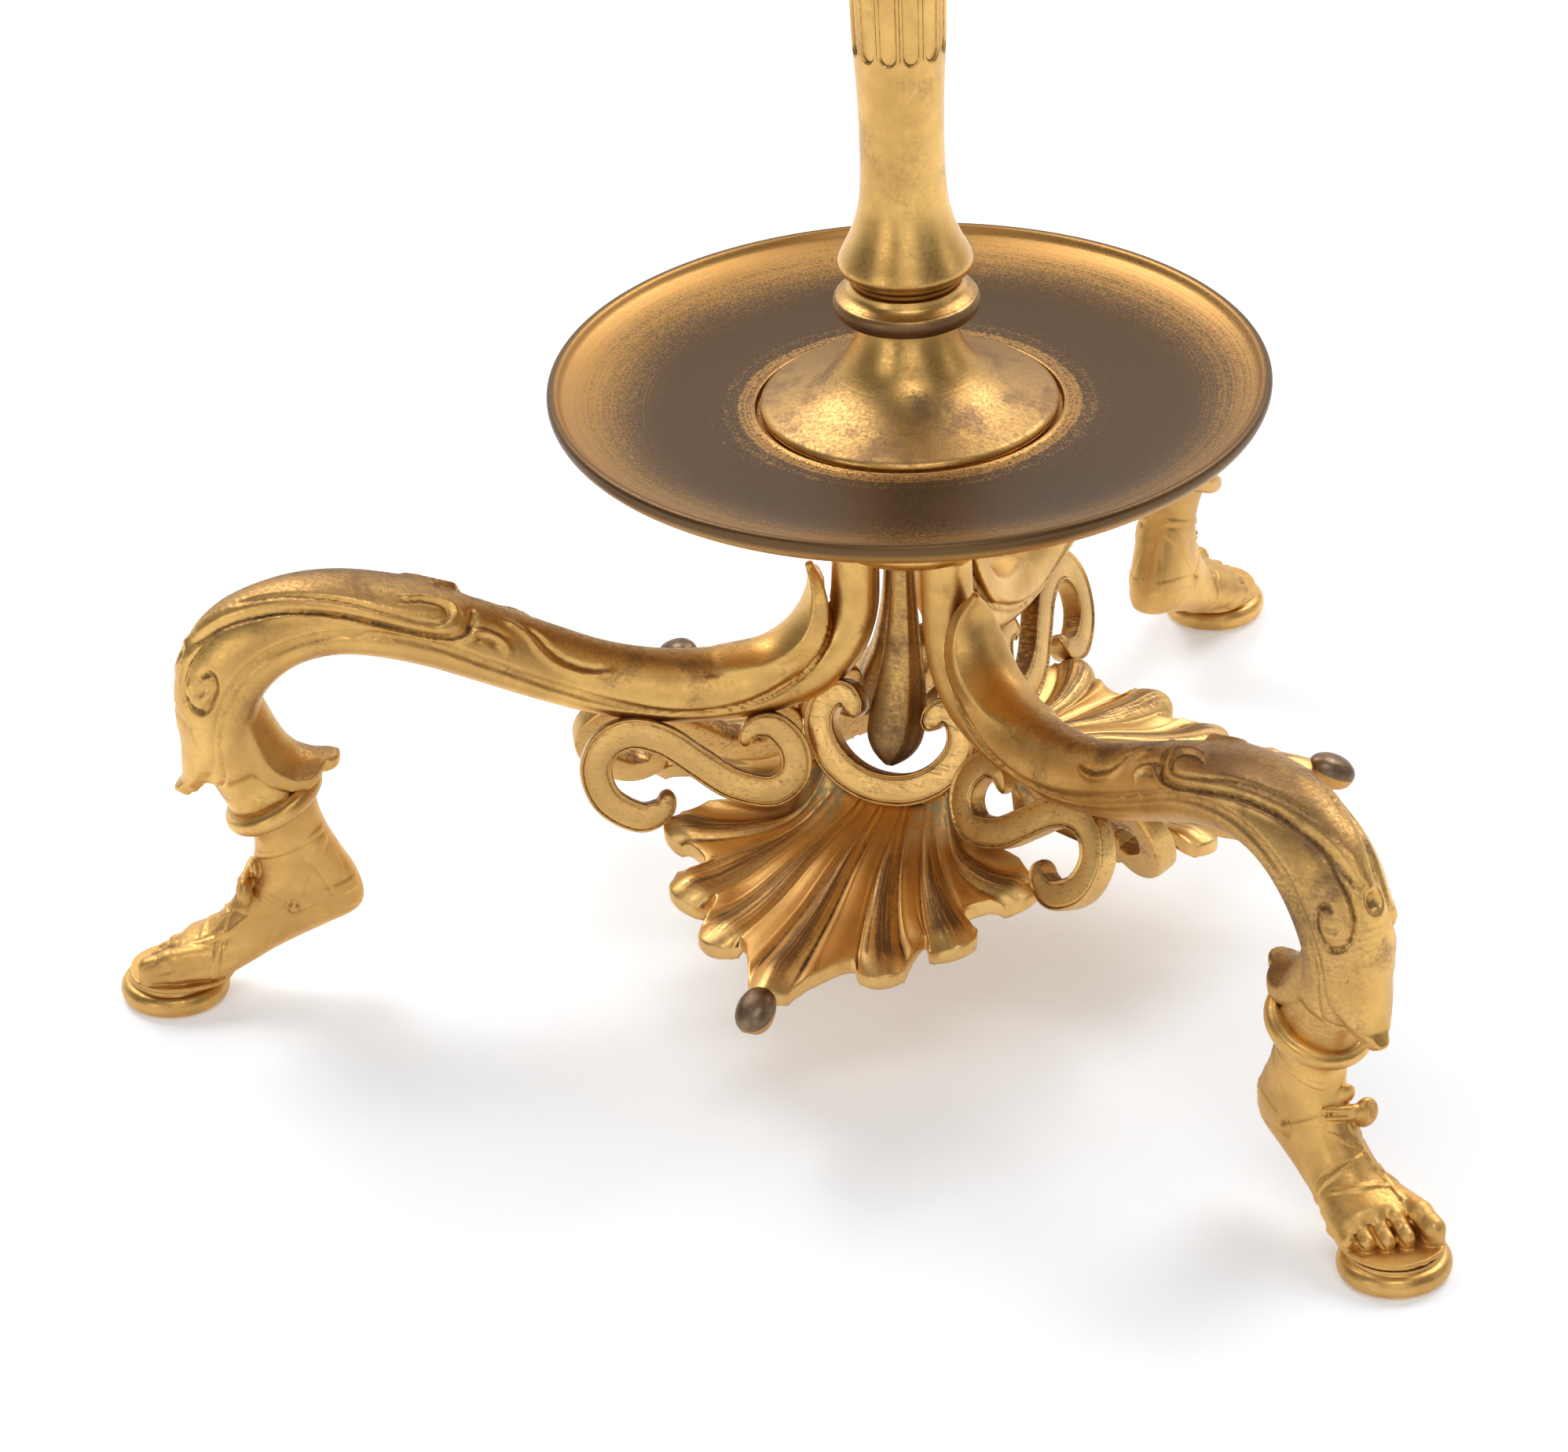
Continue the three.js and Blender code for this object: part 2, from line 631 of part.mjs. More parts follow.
function collar() {
  const outline = [
    [ROD_BORE_R, COLLAR_FOOT_Z],
    [COLLAR_R - 1.6, COLLAR_FOOT_Z],
    [COLLAR_R - 0.2, COLLAR_FOOT_Z + 1],
    [COLLAR_R, COLLAR_FOOT_Z + 2.4],
    [COLLAR_R - 0.6, COLLAR_FOOT_Z + 3.9],
    [COLLAR_R - 1.7, 137.8],
    [COLLAR_R - 2.9, 138.4],
    [COLLAR_R - 3.3, COLLAR_TOP_Z],
    [ROD_BORE_R, COLLAR_TOP_Z],
  ];
  return turned(outline, 26);
}

// Shaft rows: z, radius; flutes run between FLUTE_FOOT_Z and FLUTE_TOP_Z.
const SHAFT_ROWS = [
  [SHAFT_FOOT_Z, 10.1],
  [140.9, 10.6],
  [141.9, 11.8],
  [143.3, SHAFT_BULB_R],
  [145.2, 11.8],
  [148.2, 10.3],
  [151.5, 8.95],
  [156, 8.0],
  [167, 7.66],
  [FLUTE_FOOT_Z, 8.35],
  [FLUTE_FOOT_Z + 3, 8.45],
  [215, 9.1],
  [262, 9.5],
  [345, 8.9],
  [FLUTE_TOP_Z - 3, 7.75],
  [FLUTE_TOP_Z, 7.7],
  [SHAFT_TOP_Z - 5, 7.8],
  [SHAFT_TOP_Z - 2, 9.4],
  [SHAFT_TOP_Z, 9.6],
];

function shaft() {
  const fluted = (z) => z > FLUTE_FOOT_Z && z < FLUTE_TOP_Z;
  const halfFlute = 12;
  const ringAt = (z, radius, bore) => {
    const points = [];
    for (let i = 0; i < FLUTES; i++) {
      for (const turn of [-halfFlute, 0, halfFlute]) {
        const r = radius - (turn === 0 && fluted(z) && !bore ? FLUTE_DEPTH : 0);
        const angle = rad(FLUTE_PHASE + (i * 360) / FLUTES + turn);
        points.push([r * Math.cos(angle), r * Math.sin(angle), z]);
      }
    }
    return points;
  };
  const bore = loft([
    ringAt(SHAFT_FOOT_Z - 1, ROD_BORE_R, true),
    ringAt(SHAFT_TOP_Z + 1, ROD_BORE_R, true),
  ]);
  return loft(SHAFT_ROWS.map(([z, r]) => ringAt(z, r, false))).subtract(bore);
}

function astragal() {
  const z = ASTRAGAL_FOOT_Z;
  const outline = [
    [ROD_BORE_R, z],
    [ASTRAGAL_R - 2, z],
    [ASTRAGAL_R, z + 2],
    [ASTRAGAL_R, z + 3.6],
    [ASTRAGAL_R - 2.6, z + 5.4],
    [ASTRAGAL_R - 2.8, z + ASTRAGAL_H],
    [ROD_BORE_R, z + ASTRAGAL_H],
  ];
  return turned(outline, 24);
}

function capital() {
  const z = CAPITAL_FOOT_Z;
  const socketFloor = z + CAPITAL_H - SPIGOT_DEPTH + 1;
  const outline = [
    [ROD_BORE_R, z],
    [8.6, z],
    [8.8, z + 6],
    [9.8, z + 12],
    [12.2, z + 17.5],
    [15.6, z + 21.5],
    [CAPITAL_R, z + 24],
    [CAPITAL_R, z + CAPITAL_H],
    [SOCKET_HOLE_R, z + CAPITAL_H],
    [SOCKET_HOLE_R, socketFloor],
    [0, socketFloor],
    [0, z + ROD_IN_CAPITAL],
    [ROD_BORE_R, z + ROD_IN_CAPITAL],
  ];
  const turnedUp = [...outline.slice(11), ...outline.slice(0, 11)];
  return turned(turnedUp, 22);
}

function dripPan() {
  const z = PAN_FOOT_Z;
  const outline = [
    [SOCKET_HOLE_R, z],
    [18, z],
    [27, z + 1.6],
    [33.5, z + 4],
    [PAN_R - 0.4, z + 6.6],
    [PAN_R, z + PAN_H - 0.8],
    [PAN_R - 0.7, z + PAN_H],
    [PAN_R - 1.8, z + PAN_H - 0.3],
    [32.5, z + 5.9],
    [25, PAN_FLOOR_Z + 0.8],
    [17, PAN_FLOOR_Z],
    [SOCKET_HOLE_R, PAN_FLOOR_Z],
  ];
  return turned(outline, 28);
}

function nozzle() {
  const z = NOZZLE_FOOT_Z;
  const outline = [
    [0, PAN_FLOOR_Z + 1 - SPIGOT_DEPTH],
    [SPIGOT_R, PAN_FLOOR_Z + 1 - SPIGOT_DEPTH],
    [SPIGOT_R, z],
    [12.5, z],
    [13, z + 2.2],
    [8.6, z + 5.2],
    [9.4, z + 9],
    [13.6, z + 14.5],
    [14.2, z + 20],
    [13.1, z + 32],
    [NOZZLE_R - 0.6, z + NOZZLE_H - 2.4],
    [NOZZLE_R, z + NOZZLE_H - 1],
    [NOZZLE_R - 0.9, z + NOZZLE_H],
    [CANDLE_R, z + NOZZLE_H - 0.6],
    [CANDLE_R - 0.5, z + NOZZLE_H - CANDLE_DEPTH],
    [0, z + NOZZLE_H - CANDLE_DEPTH],
  ];
  return turned(outline, 22);
}

// ---- assembly ----
const group = new THREE.Group();

function addPiece(name, solid, material) {
  const made = solid.getMesh();
  const positions = new Float32Array(made.numVert * 3);
  for (let i = 0; i < made.numVert; i++) {
    positions.set(made.vertProperties.subarray(i * made.numProp, i * made.numProp + 3), i * 3);
  }
  const geometry = new THREE.BufferGeometry();
  geometry.setAttribute("position", new THREE.BufferAttribute(positions, 3));
  geometry.setIndex(new THREE.BufferAttribute(made.triVerts, 1));
  const mesh = new THREE.Mesh(geometry, material);
  mesh.name = name;
  group.add(mesh);
}

function addLegs() {
  const [legSolid, ringSolid, footSolid, discSolid] = [leg(), ankleRing(), foot(), toeDisc()];
  const screwSolid = legScrew();
  for (const [side, azimuth] of Object.entries(LEG_AZIMUTHS)) {
    addPiece(`leg_${side}`, atAzimuth(legSolid, azimuth), gilt);
    addPiece(`ankle_ring_${side}`, atAzimuth(ringSolid, azimuth), gilt);
    addPiece(`foot_${side}`, atAzimuth(footSolid, azimuth), gilt);
    addPiece(`toe_disc_${side}`, atAzimuth(discSolid, azimuth), gilt);
    addPiece(`leg_screw_${side}`, atAzimuth(screwSolid, azimuth), iron);
  }
}

function addAprons() {
  const legs = legSpace();
  const bothLegs = atAzimuth(legs, 60 - APRON_TWIST).add(atAzimuth(legs, -60 - APRON_TWIST));
  const cSpace = cScroll(GAP);
  const sSpace = sScroll(GAP);
  const cSolid = cScroll().subtract(bothLegs);
  const sSolid = sScroll().subtract(bothLegs).subtract(cSpace);
  const blocked = cSpace.add(sSpace).add(mirroredAcross(sSpace)).add(bothLegs).add(beadSpace());
  const apronSolid = apron().subtract(blocked);
  const dropSolid = leaf(DROP_ROWS).subtract(bothLegs).subtract(cSpace);
  const beadSolid = bead();
  for (const [side, halfway] of Object.entries(APRON_AZIMUTHS)) {
    const azimuth = halfway + APRON_TWIST;
    addPiece(`apron_${side}`, atAzimuth(apronSolid, azimuth), gilt);
    addPiece(`c_scroll_${side}`, atAzimuth(cSolid, azimuth), gilt);
    addPiece(`s_scroll_${side}_a`, atAzimuth(sSolid, azimuth), gilt);
    addPiece(`s_scroll_${side}_b`, atAzimuth(mirroredAcross(sSolid), azimuth), gilt);
    addPiece(`bead_${side}`, atAzimuth(beadSolid, azimuth), bronze);
    addPiece(`drop_${side}`, atAzimuth(dropSolid, azimuth), gilt);
  }
}

function addColumn() {
  addPiece("hub", hub(), gilt);
  addPiece("tie_rod", tieRod(), iron);
  addPiece("rod_washer", washer(), iron);
  addPiece("rod_nut", nut(), iron);
  addPiece("dish", dish(), bronze);
  addPiece("dish_boss", boss(), gilt);
  addPiece("collar", collar(), gilt);
  addPiece("shaft", shaft(), gilt);
  addPiece("astragal", astragal(), gilt);
  addPiece("capital", capital(), gilt);
  addPiece("drip_pan", dripPan(), bronze);
  addPiece("candle_nozzle", nozzle(), gilt);
}

addLegs();
addAprons();
addColumn();

export default group;
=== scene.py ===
import math

import bpy
import numpy as np
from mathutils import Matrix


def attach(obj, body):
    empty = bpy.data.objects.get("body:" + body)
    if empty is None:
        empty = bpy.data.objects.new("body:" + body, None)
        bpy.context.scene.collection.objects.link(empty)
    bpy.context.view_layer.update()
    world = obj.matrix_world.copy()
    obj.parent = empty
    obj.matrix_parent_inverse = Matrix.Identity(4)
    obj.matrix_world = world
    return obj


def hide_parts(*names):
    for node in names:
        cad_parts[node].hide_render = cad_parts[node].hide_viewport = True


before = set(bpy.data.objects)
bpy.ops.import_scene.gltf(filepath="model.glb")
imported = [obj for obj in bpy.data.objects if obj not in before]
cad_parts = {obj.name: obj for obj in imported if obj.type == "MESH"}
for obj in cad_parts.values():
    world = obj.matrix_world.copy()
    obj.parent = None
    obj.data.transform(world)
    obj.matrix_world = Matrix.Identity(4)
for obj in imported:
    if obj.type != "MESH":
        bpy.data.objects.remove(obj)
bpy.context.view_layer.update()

import openvdb
from mathutils import Matrix, Vector

# Lengths below are millimetres in the part's own frame, unless a name says otherwise.
MM = 0.001
LEG_AZIMUTHS = {"back": 90, "left": 210, "right": 330}
APRON_AZIMUTHS = {"front": 270, "right": 30, "left": 150}
APRON_TWIST = 2.2

# ---- camera, fitted to the photograph ----
IMAGE_W = 1996
FOCAL_PX = 9310
CAMERA_REACH = 1190.4        # from the column axis, along the floor
CAMERA_HEIGHT = 715.1
CAMERA_TURN = 25.45          # degrees round from the front apron
CAMERA_YAW = -1.213
CAMERA_PITCH = 29.27
CAMERA_ROLL = -2.28


def rad(degrees):
    return degrees * math.pi / 180


def add_camera():
    data = bpy.data.cameras.new("camera")
    data.sensor_width = 36
    data.lens = FOCAL_PX * data.sensor_width / IMAGE_W
    data.clip_end = 20
    camera = bpy.data.objects.new("camera", data)
    bpy.context.collection.objects.link(camera)
    yaw, pitch, roll, turn = (rad(a) for a in (CAMERA_YAW, CAMERA_PITCH, CAMERA_ROLL, CAMERA_TURN))
    forward = Vector((math.sin(yaw) * math.cos(pitch), math.cos(yaw) * math.cos(pitch), -math.sin(pitch)))
    right = Vector((math.cos(yaw), -math.sin(yaw), 0))
    up = right.cross(forward)
    across = math.cos(roll) * right + math.sin(roll) * up
    above = -math.sin(roll) * right + math.cos(roll) * up
    spin = Matrix.Rotation(turn, 4, "Z")
    axes = Matrix((across, above, -forward)).transposed().to_4x4()
    place = Matrix.Translation(Vector((0, -CAMERA_REACH, CAMERA_HEIGHT)) * MM)
    camera.matrix_world = spin @ place @ axes
    bpy.context.scene.camera = camera


# ---- fields: arrays of signed distance in millimetres on a box of voxels ----
def box_grid(lo, hi, voxel):
    axes = [np.arange(a, b + voxel, voxel, dtype=np.float32) for a, b in zip(lo, hi)]
    return axes[0][:, None, None], axes[1][None, :, None], axes[2][None, None, :]


def smooth_min(a, b, reach):
    blend = np.clip(0.5 + 0.5 * (b - a) / reach, 0, 1)
    return b + (a - b) * blend - reach * blend * (1 - blend)


def smooth_max(a, b, reach):
    return -smooth_min(-a, -b, reach)


def smoothstep(low, high, x):
    t = np.clip((x - low) / (high - low), 0, 1)
    return t * t * (3 - 2 * t)


def spline(points, steps):
    """Catmull-Rom curve through rows of numbers, steps to a stretch."""
    rows = np.asarray(points, float)
    rows = np.vstack([2 * rows[0] - rows[1], rows, 2 * rows[-1] - rows[-2]])
    t = np.linspace(0, 1, steps, endpoint=False)[:, None]
    parts = []
    for a, b, c, d in zip(rows, rows[1:], rows[2:], rows[3:]):
        bend = (2 * a - 5 * b + 4 * c - d) * t + (3 * b - a - 3 * c + d) * t * t
        parts.append(0.5 * (2 * b + (c - a + bend) * t))
    return np.vstack(parts + [rows[-2:-1]])


def lengths(path):
    """Length along a path at each of its rows."""
    return np.concatenate([[0], np.cumsum(np.hypot(*np.diff(path[:, :2], axis=0).T))])


def nearest_on(path, u, v):
    """For each point: distance to the path, side, position in rows of the path."""
    best = np.full(np.broadcast(u, v).shape, 1e9)
    side = np.zeros_like(best)
    where = np.zeros_like(best)
    for i, (p, q) in enumerate(zip(path[:-1], path[1:])):
        step = q[:2] - p[:2]
        length = max(step @ step, 1e-9)
        t = np.clip(((u - p[0]) * step[0] + (v - p[1]) * step[1]) / length, 0, 1)
        du, dv = u - p[0] - step[0] * t, v - p[1] - step[1] * t
        gap = du * du + dv * dv
        closer = gap < best
        best = np.where(closer, gap, best)
        side = np.where(closer, step[0] * dv - step[1] * du, side)
        where = np.where(closer, i + t, where)
    return np.sqrt(best), np.sign(side), where


def inside(polygon, u, v):
    """Signed distance to a closed polygon, positive inside."""
    ring = np.vstack([polygon, polygon[:1]])
    gap, _, _ = nearest_on(ring, u, v)
    crossings = np.zeros(np.broadcast(u, v).shape, int)
    for p, q in zip(ring[:-1], ring[1:]):
        spans = (p[1] > v) != (q[1] > v)
        rise = q[1] - p[1] if q[1] != p[1] else 1e-9
        crossings += spans & (u < p[0] + (v - p[1]) * (q[0] - p[0]) / rise)
    return np.where(crossings % 2 == 1, gap, -gap)


# ---- meshes ----
OPEN_AIR = 10.0              # value of a field beyond its box
RELAX_SHARES = (0.5, -0.52) * 2


def looks_out(points, quads):
    """1 where the quads of a closed skin look out of it, -1 where they look in."""
    a, b, c, d = (points[quads[:, k]] for k in range(4))
    return 1 if (np.cross(c - a, d - b) * (a + b + c + d)).sum() > 0 else -1


def facing_out(points, quads):
    return quads if looks_out(points, quads) > 0 else quads[:, ::-1]


def wrapped(rings, count):
    """Quads joining rings of points, closed both ways."""
    i, j = np.meshgrid(np.arange(rings), np.arange(count), indexing="ij")
    a, b = i * count + j, i * count + (j + 1) % count
    k = (i + 1) % rings
    return np.stack([a, k * count + j, k * count + (j + 1) % count, b], -1).reshape(-1, 4)


def sleeve(rings, count):
    """Quads joining rings of points, open at the first and the last ring."""
    return wrapped(rings, count)[: (rings - 1) * count]


def tube(points, rings):
    """Quads of a sleeve, and the faces of the closed tube that it makes with its two ends."""
    count = len(points) // rings
    quads = sleeve(rings, count)
    last = (rings - 1) * count
    faces = quads.tolist() + [list(range(count))[::-1], list(range(last, last + count))]
    return quads, faces if looks_out(points, quads) > 0 else [face[::-1] for face in faces]


def mesh_of(field, lo, voxel):
    """Points and quads of the skin where a field is 0."""
    grid = openvdb.FloatGrid(OPEN_AIR)
    grid.copyFromArray(np.ascontiguousarray(field, dtype=np.float32))
    points, quads = grid.convertToQuads(0.0)
    points = points.astype(float) * voxel + np.asarray(lo, float)
    return points, facing_out(points, quads.astype(int))


def neighbour_mean(points, quads):
    """A function that gives the mean of the neighbours' rows for every point."""
    ends = np.vstack([quads[:, [i, (i + 1) % 4]] for i in range(4)])
    count = np.bincount(ends.ravel(), minlength=len(points))[:, None]

    def mean(rows):
        total = np.zeros_like(rows)
        for axis in range(3):
            total[:, axis] = (np.bincount(ends[:, 0], rows[ends[:, 1], axis], len(rows))
                              + np.bincount(ends[:, 1], rows[ends[:, 0], axis], len(rows)))
        return total / count

    return mean


def relax(points, quads):
    """Even out the skin without shrinking it."""
    mean = neighbour_mean(points, quads)
    for share in RELAX_SHARES:
        points = points + share * (mean(points) - points)
    return points


def normals_of(points, quads):
    a, b, c, d = (points[quads[:, k]] for k in range(4))
    face = np.cross(c - a, d - b)
    total = np.zeros_like(points)
    for k in range(4):
        for axis in range(3):
            total[:, axis] += np.bincount(quads[:, k], face[:, axis], len(points))
    return total / np.maximum(np.linalg.norm(total, axis=1), 1e-12)[:, None]


def hollows(points, quads, rounds, gain):
    """Depth of each point below the smoothed skin around it, times gain and kept within 1 either way; the
    gilding paints shade where it is deep.
    """
    mean = neighbour_mean(points, quads)
    blurred = points
    for _ in range(rounds):
        blurred = 0.5 * blurred + 0.5 * mean(blurred)
    depth = ((blurred - points) * normals_of(points, quads)).sum(1) * looks_out(points, quads)
    return np.clip(depth * gain, -1, 1)


def piece(name, points, faces, material, node, body="stand", layers=None):
    """A Blender object from points in millimetres, riding on a body in place of a CAD node."""
    mesh = bpy.data.meshes.new(name)
    faces = faces if isinstance(faces, list) else faces.tolist()
    mesh.from_pydata((np.asarray(points) * MM).tolist(), [], faces)
    mesh.update()
    mesh.shade_smooth()
    for key, values in (layers or {}).items():
        layer = mesh.attributes.new(key, "FLOAT", "POINT")
        layer.data.foreach_set("value", np.asarray(values, np.float32))
    mesh.materials.append(material)
    made = bpy.data.objects.new(name, mesh)
    bpy.context.collection.objects.link(made)
    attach(made, body)
    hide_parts(node)


def turned_by(points, azimuth):
    c, s = math.cos(rad(azimuth)), math.sin(rad(azimuth))
    return points @ np.array([[c, s, 0], [-s, c, 0], [0, 0, 1]])


def tilted(points, degrees):
    """Points turned about the y axis, so that the +x side sinks."""
    c, s = math.cos(rad(degrees)), math.sin(rad(degrees))
    return points @ np.array([[c, 0, -s], [0, 1, 0], [s, 0, c]])


# ---- leg: x outward, y across, z up; rows x, z, half width, back height, belly depth ----
LEG_ROWS = np.array([
    (9.6, 91, 4.8, 5.8, 3.0), (9.6, 80, 4.9, 5.8, 3.1), (10.3, 73, 5.2, 6.0, 3.3),
    (12.8, 66.6, 5.8, 6.6, 3.6), (17.5, 61.4, 6.2, 7.3, 3.9), (24, 58.4, 6.5, 8.0, 4.0),
    (32, 56.9, 6.6, 8.6, 4.0), (41, 56.4, 6.4, 9.0, 4.0), (50, 57.2, 6.3, 9.3, 4.0),
    (60, 59.6, 6.4, 9.7, 4.0), (70, 63.5, 6.9, 10.0, 4.0), (80, 68.2, 7.6, 10.0, 4.2),
    (90, 72.8, 8.3, 9.7, 4.4), (100, 76.0, 8.8, 9.2, 4.5), (108, 77.0, 9.1, 9.3, 4.6),
    (115.5, 75.4, 9.2, 10.4, 4.7), (121.5, 71.4, 9.1, 12.0, 4.8), (125.8, 65.5, 8.7, 11.9, 4.8),
    (127.8, 59.0, 8.1, 10.0, 5.2), (127.0, 53.6, 7.6, 8.9, 5.9), (125.0, 49.2, 7.7, 8.7, 6.5),
    (122.9, 45.2, 7.9, 8.8, 7.0), (121.4, 42.4, 8.1, 9.0, 7.4), (120.5, 40.6, 8.0, 8.9, 7.4),
    (119.3, 38.4, 7.6, 8.4, 7.0),
])
LEG_TOP_Z = 87.7
NECK_END_Z = 40.5            # where neck and foot meet inside the ankle ring, at the ring's middle
NECK_END_SLOPE = 0.51
NECK_GAP = 0.1
LEG_VOXEL = 0.38
LEG_LOW = (1.0, 0.0, 36.0)
LEG_HIGH = (142.5, 12.5, 91.0)
LEG_START = (9.6, 88)        # lengths along the leg are counted from here
LEG_LENGTH = 190
SIDE_MM = 0.16               # mm round the leg for each degree of its section angle
RELIEF_STEP = 0.25           # mm to a row of the relief table, whose columns are whole degrees
LINE_STEPS = 4

# Ornament on the leg's skin: rows of length along the leg in mm and section angle in degrees,
# where 0 is the lower edge, 90 the crest and -90 the belly. Both sides carry it.
RIM_INNER = [
    (15.5, 130), (16, 100), (17.5, 76), (19.5, 61), (23, 50), (27, 41), (33, 30), (38, 20), (44, 9),
    (50, 3.5), (57, 2.5), (64, 5), (72, 9), (80, 11.5), (88, 13), (96, 15), (104, 17.5), (112, 18),
    (125, 16.5), (135, 15.5), (145, 14.5), (151.5, 16.5), (156, 22), (159, 33), (160.4, 50), (160.6, 80),
    (160.3, 130),
]
RIM_OUTER = [
    (13.5, 130), (14, 100), (15.2, 76), (17.5, 58), (21, 46), (25.5, 36.5), (31, 26), (36.5, 15),
    (43, 3.5), (50, -2.5), (57, -3), (64, 0), (72, 4), (80, 6.5), (88, 8.5), (96, 10), (104, 12.5),
    (112, 13), (125, 11.5), (135, 10.5), (145, 9.5), (152, 10.5), (158, 16), (161.8, 30), (163, 50),
    (163.2, 80), (163, 130),
]
KNEE_EDGE = [
    (113.0, 60), (111.4, 65), (109, 68.5), (106.2, 68.5), (104.1, 64.5), (103.0, 57), (102.6, 49),
    (103.2, 40), (105, 33), (108, 30), (112, 30.5), (117, 35), (122, 42), (127, 51), (132, 61), (137, 71),
    (141, 80), (143.5, 90), (144, 100),
]
KNEE_GROOVE = [
    (113.6, 54), (111.2, 59.5), (108.6, 62), (106.4, 60.5), (105.2, 55), (105.0, 48), (105.8, 40.5),
    (108, 37.5), (111.8, 38.5), (116.6, 43), (121.4, 50), (126.4, 58.5), (131.2, 68), (135.6, 77),
]
KNEE_UNDER = [
    (101.0, 72), (100.6, 64), (100.5, 50), (100.9, 38), (102.8, 28.5), (106.5, 24.5), (111.5, 25.5),
    (117.5, 29.5), (123.5, 37), (129.5, 47), (135, 58), (140, 69), (143.5, 78),
]
TENDRIL = [
    (92.4, 30.5), (93, 38), (95.3, 43.8), (98.4, 43.8), (100.2, 36), (102.2, 27.5), (105.4, 21.8),
    (109, 20.6), (114.5, 23.5), (120.5, 29.5), (127, 38.5), (133, 49),
]
TENDRIL_ABOVE = [(93.6, 46.5), (96.4, 50.5), (99.6, 50), (101.6, 44.5)]
TENDRIL_BELOW = [(94.3, 32), (95.8, 38), (97.8, 37.5), (99, 31)]
SIDE_CURL = [
    (139, 62), (144.2, 66.5), (147, 63.5), (148.8, 57), (149.8, 47), (150.1, 37), (149.4, 29),
    (147.7, 24.6), (145.5, 25.2), (144, 31), (143.8, 39), (144.9, 46),
]
SIDE_CURL_IN = [(146.6, 57), (147.9, 47), (148.1, 37), (147.3, 30.5), (146, 31)]
TONGUE_LINE = [
    (151.5, 130), (151.8, 90), (152.2, 65), (153.2, 48), (155.2, 40.5), (157.2, 46), (158.2, 60),
    (158.4, 90), (158.4, 130),
]
FLAP_EDGE = [(71, 44), (73.5, 35), (77.5, 30.5), (82.5, 33), (86.6, 43), (89, 54), (91.5, 63), (95, 71)]
FLAP_SHADE = [(73, 43.5), (77.5, 40), (82, 43), (85.4, 52), (87.8, 62), (91, 71)]
KNEE_LEAF = [
    (103.4, 72), (102.7, 60), (102.5, 50), (103.2, 40), (105, 33), (108, 30), (112, 30.5), (117, 35),
    (122, 42), (127, 51), (132, 61), (137, 71), (141, 80), (143.5, 90), (144, 130), (108, 130), (107, 78),
]
HUB_LEAF = RIM_INNER[:14] + [(84, 130)]
FRONT_EYE = (145.2, 88)
# path, height, width
LEG_LINES = [
    (RIM_INNER, -0.60, 0.36), (RIM_OUTER, -0.55, 0.38), (KNEE_EDGE, 0.55, 0.62), (KNEE_UNDER, -0.75, 0.6),
    (KNEE_GROOVE, -0.60, 0.38), (TENDRIL, 0.62, 0.5), (TENDRIL_ABOVE, -0.35, 0.45),
    (TENDRIL_BELOW, -0.4, 0.45), (SIDE_CURL, -0.85, 0.45), (SIDE_CURL_IN, 0.5, 0.6),
    (TONGUE_LINE, -0.3, 0.34), (FLAP_EDGE, 0.5, 0.55), (FLAP_SHADE, -0.5, 0.55),
]


def on_leg(path):
    """Rows of length and angle, both made millimetres."""
    return np.asarray(path, float) * (1, SIDE_MM)


def leg_line(path, height, width, u, v):
    """Ridge or groove along a path, fading at its ends."""
    gap, _, where = nearest_on(spline(on_leg(path), LINE_STEPS), u, v)
    last = LINE_STEPS * (len(path) - 1)
    ends = np.clip(np.minimum(where, last - where) / 2.5 + 0.15, 0, 1)
    return height * np.exp(-(gap / width) ** 2) * ends


def leg_relief():
    """Height of the ornament over the plain leg, as a table of length and angle."""
    length = np.arange(0, LEG_LENGTH, RELIEF_STEP)[:, None]
    angle = np.arange(-90, 91, 1.0)[None, :]
    v = angle * SIDE_MM
    leaf = smoothstep(-0.2, 0.7, inside(on_leg(HUB_LEAF), length, v))
    relief = 0.75 * leaf * smoothstep(78, 46, length)
    leaf = smoothstep(-0.2, 1.1, inside(on_leg(KNEE_LEAF), length, v))
    relief = relief + 0.9 * leaf * (1 - 0.65 * smoothstep(66, 84, angle) * smoothstep(122, 108, length))
    for path, height, width in LEG_LINES:
        relief = relief + leg_line(path, height, width, length, v)
    eye = np.hypot(length - FRONT_EYE[0], v - FRONT_EYE[1] * SIDE_MM)
    relief += 0.5 * np.exp(-((eye - 1.7) / 0.6) ** 2) - 0.9 * np.exp(-(eye / 0.9) ** 2)
    below = smoothstep(161.5, 164, length) * smoothstep(-40, 0, angle)
    return relief - 0.9 * below


PLATE_EDGE = 0.9


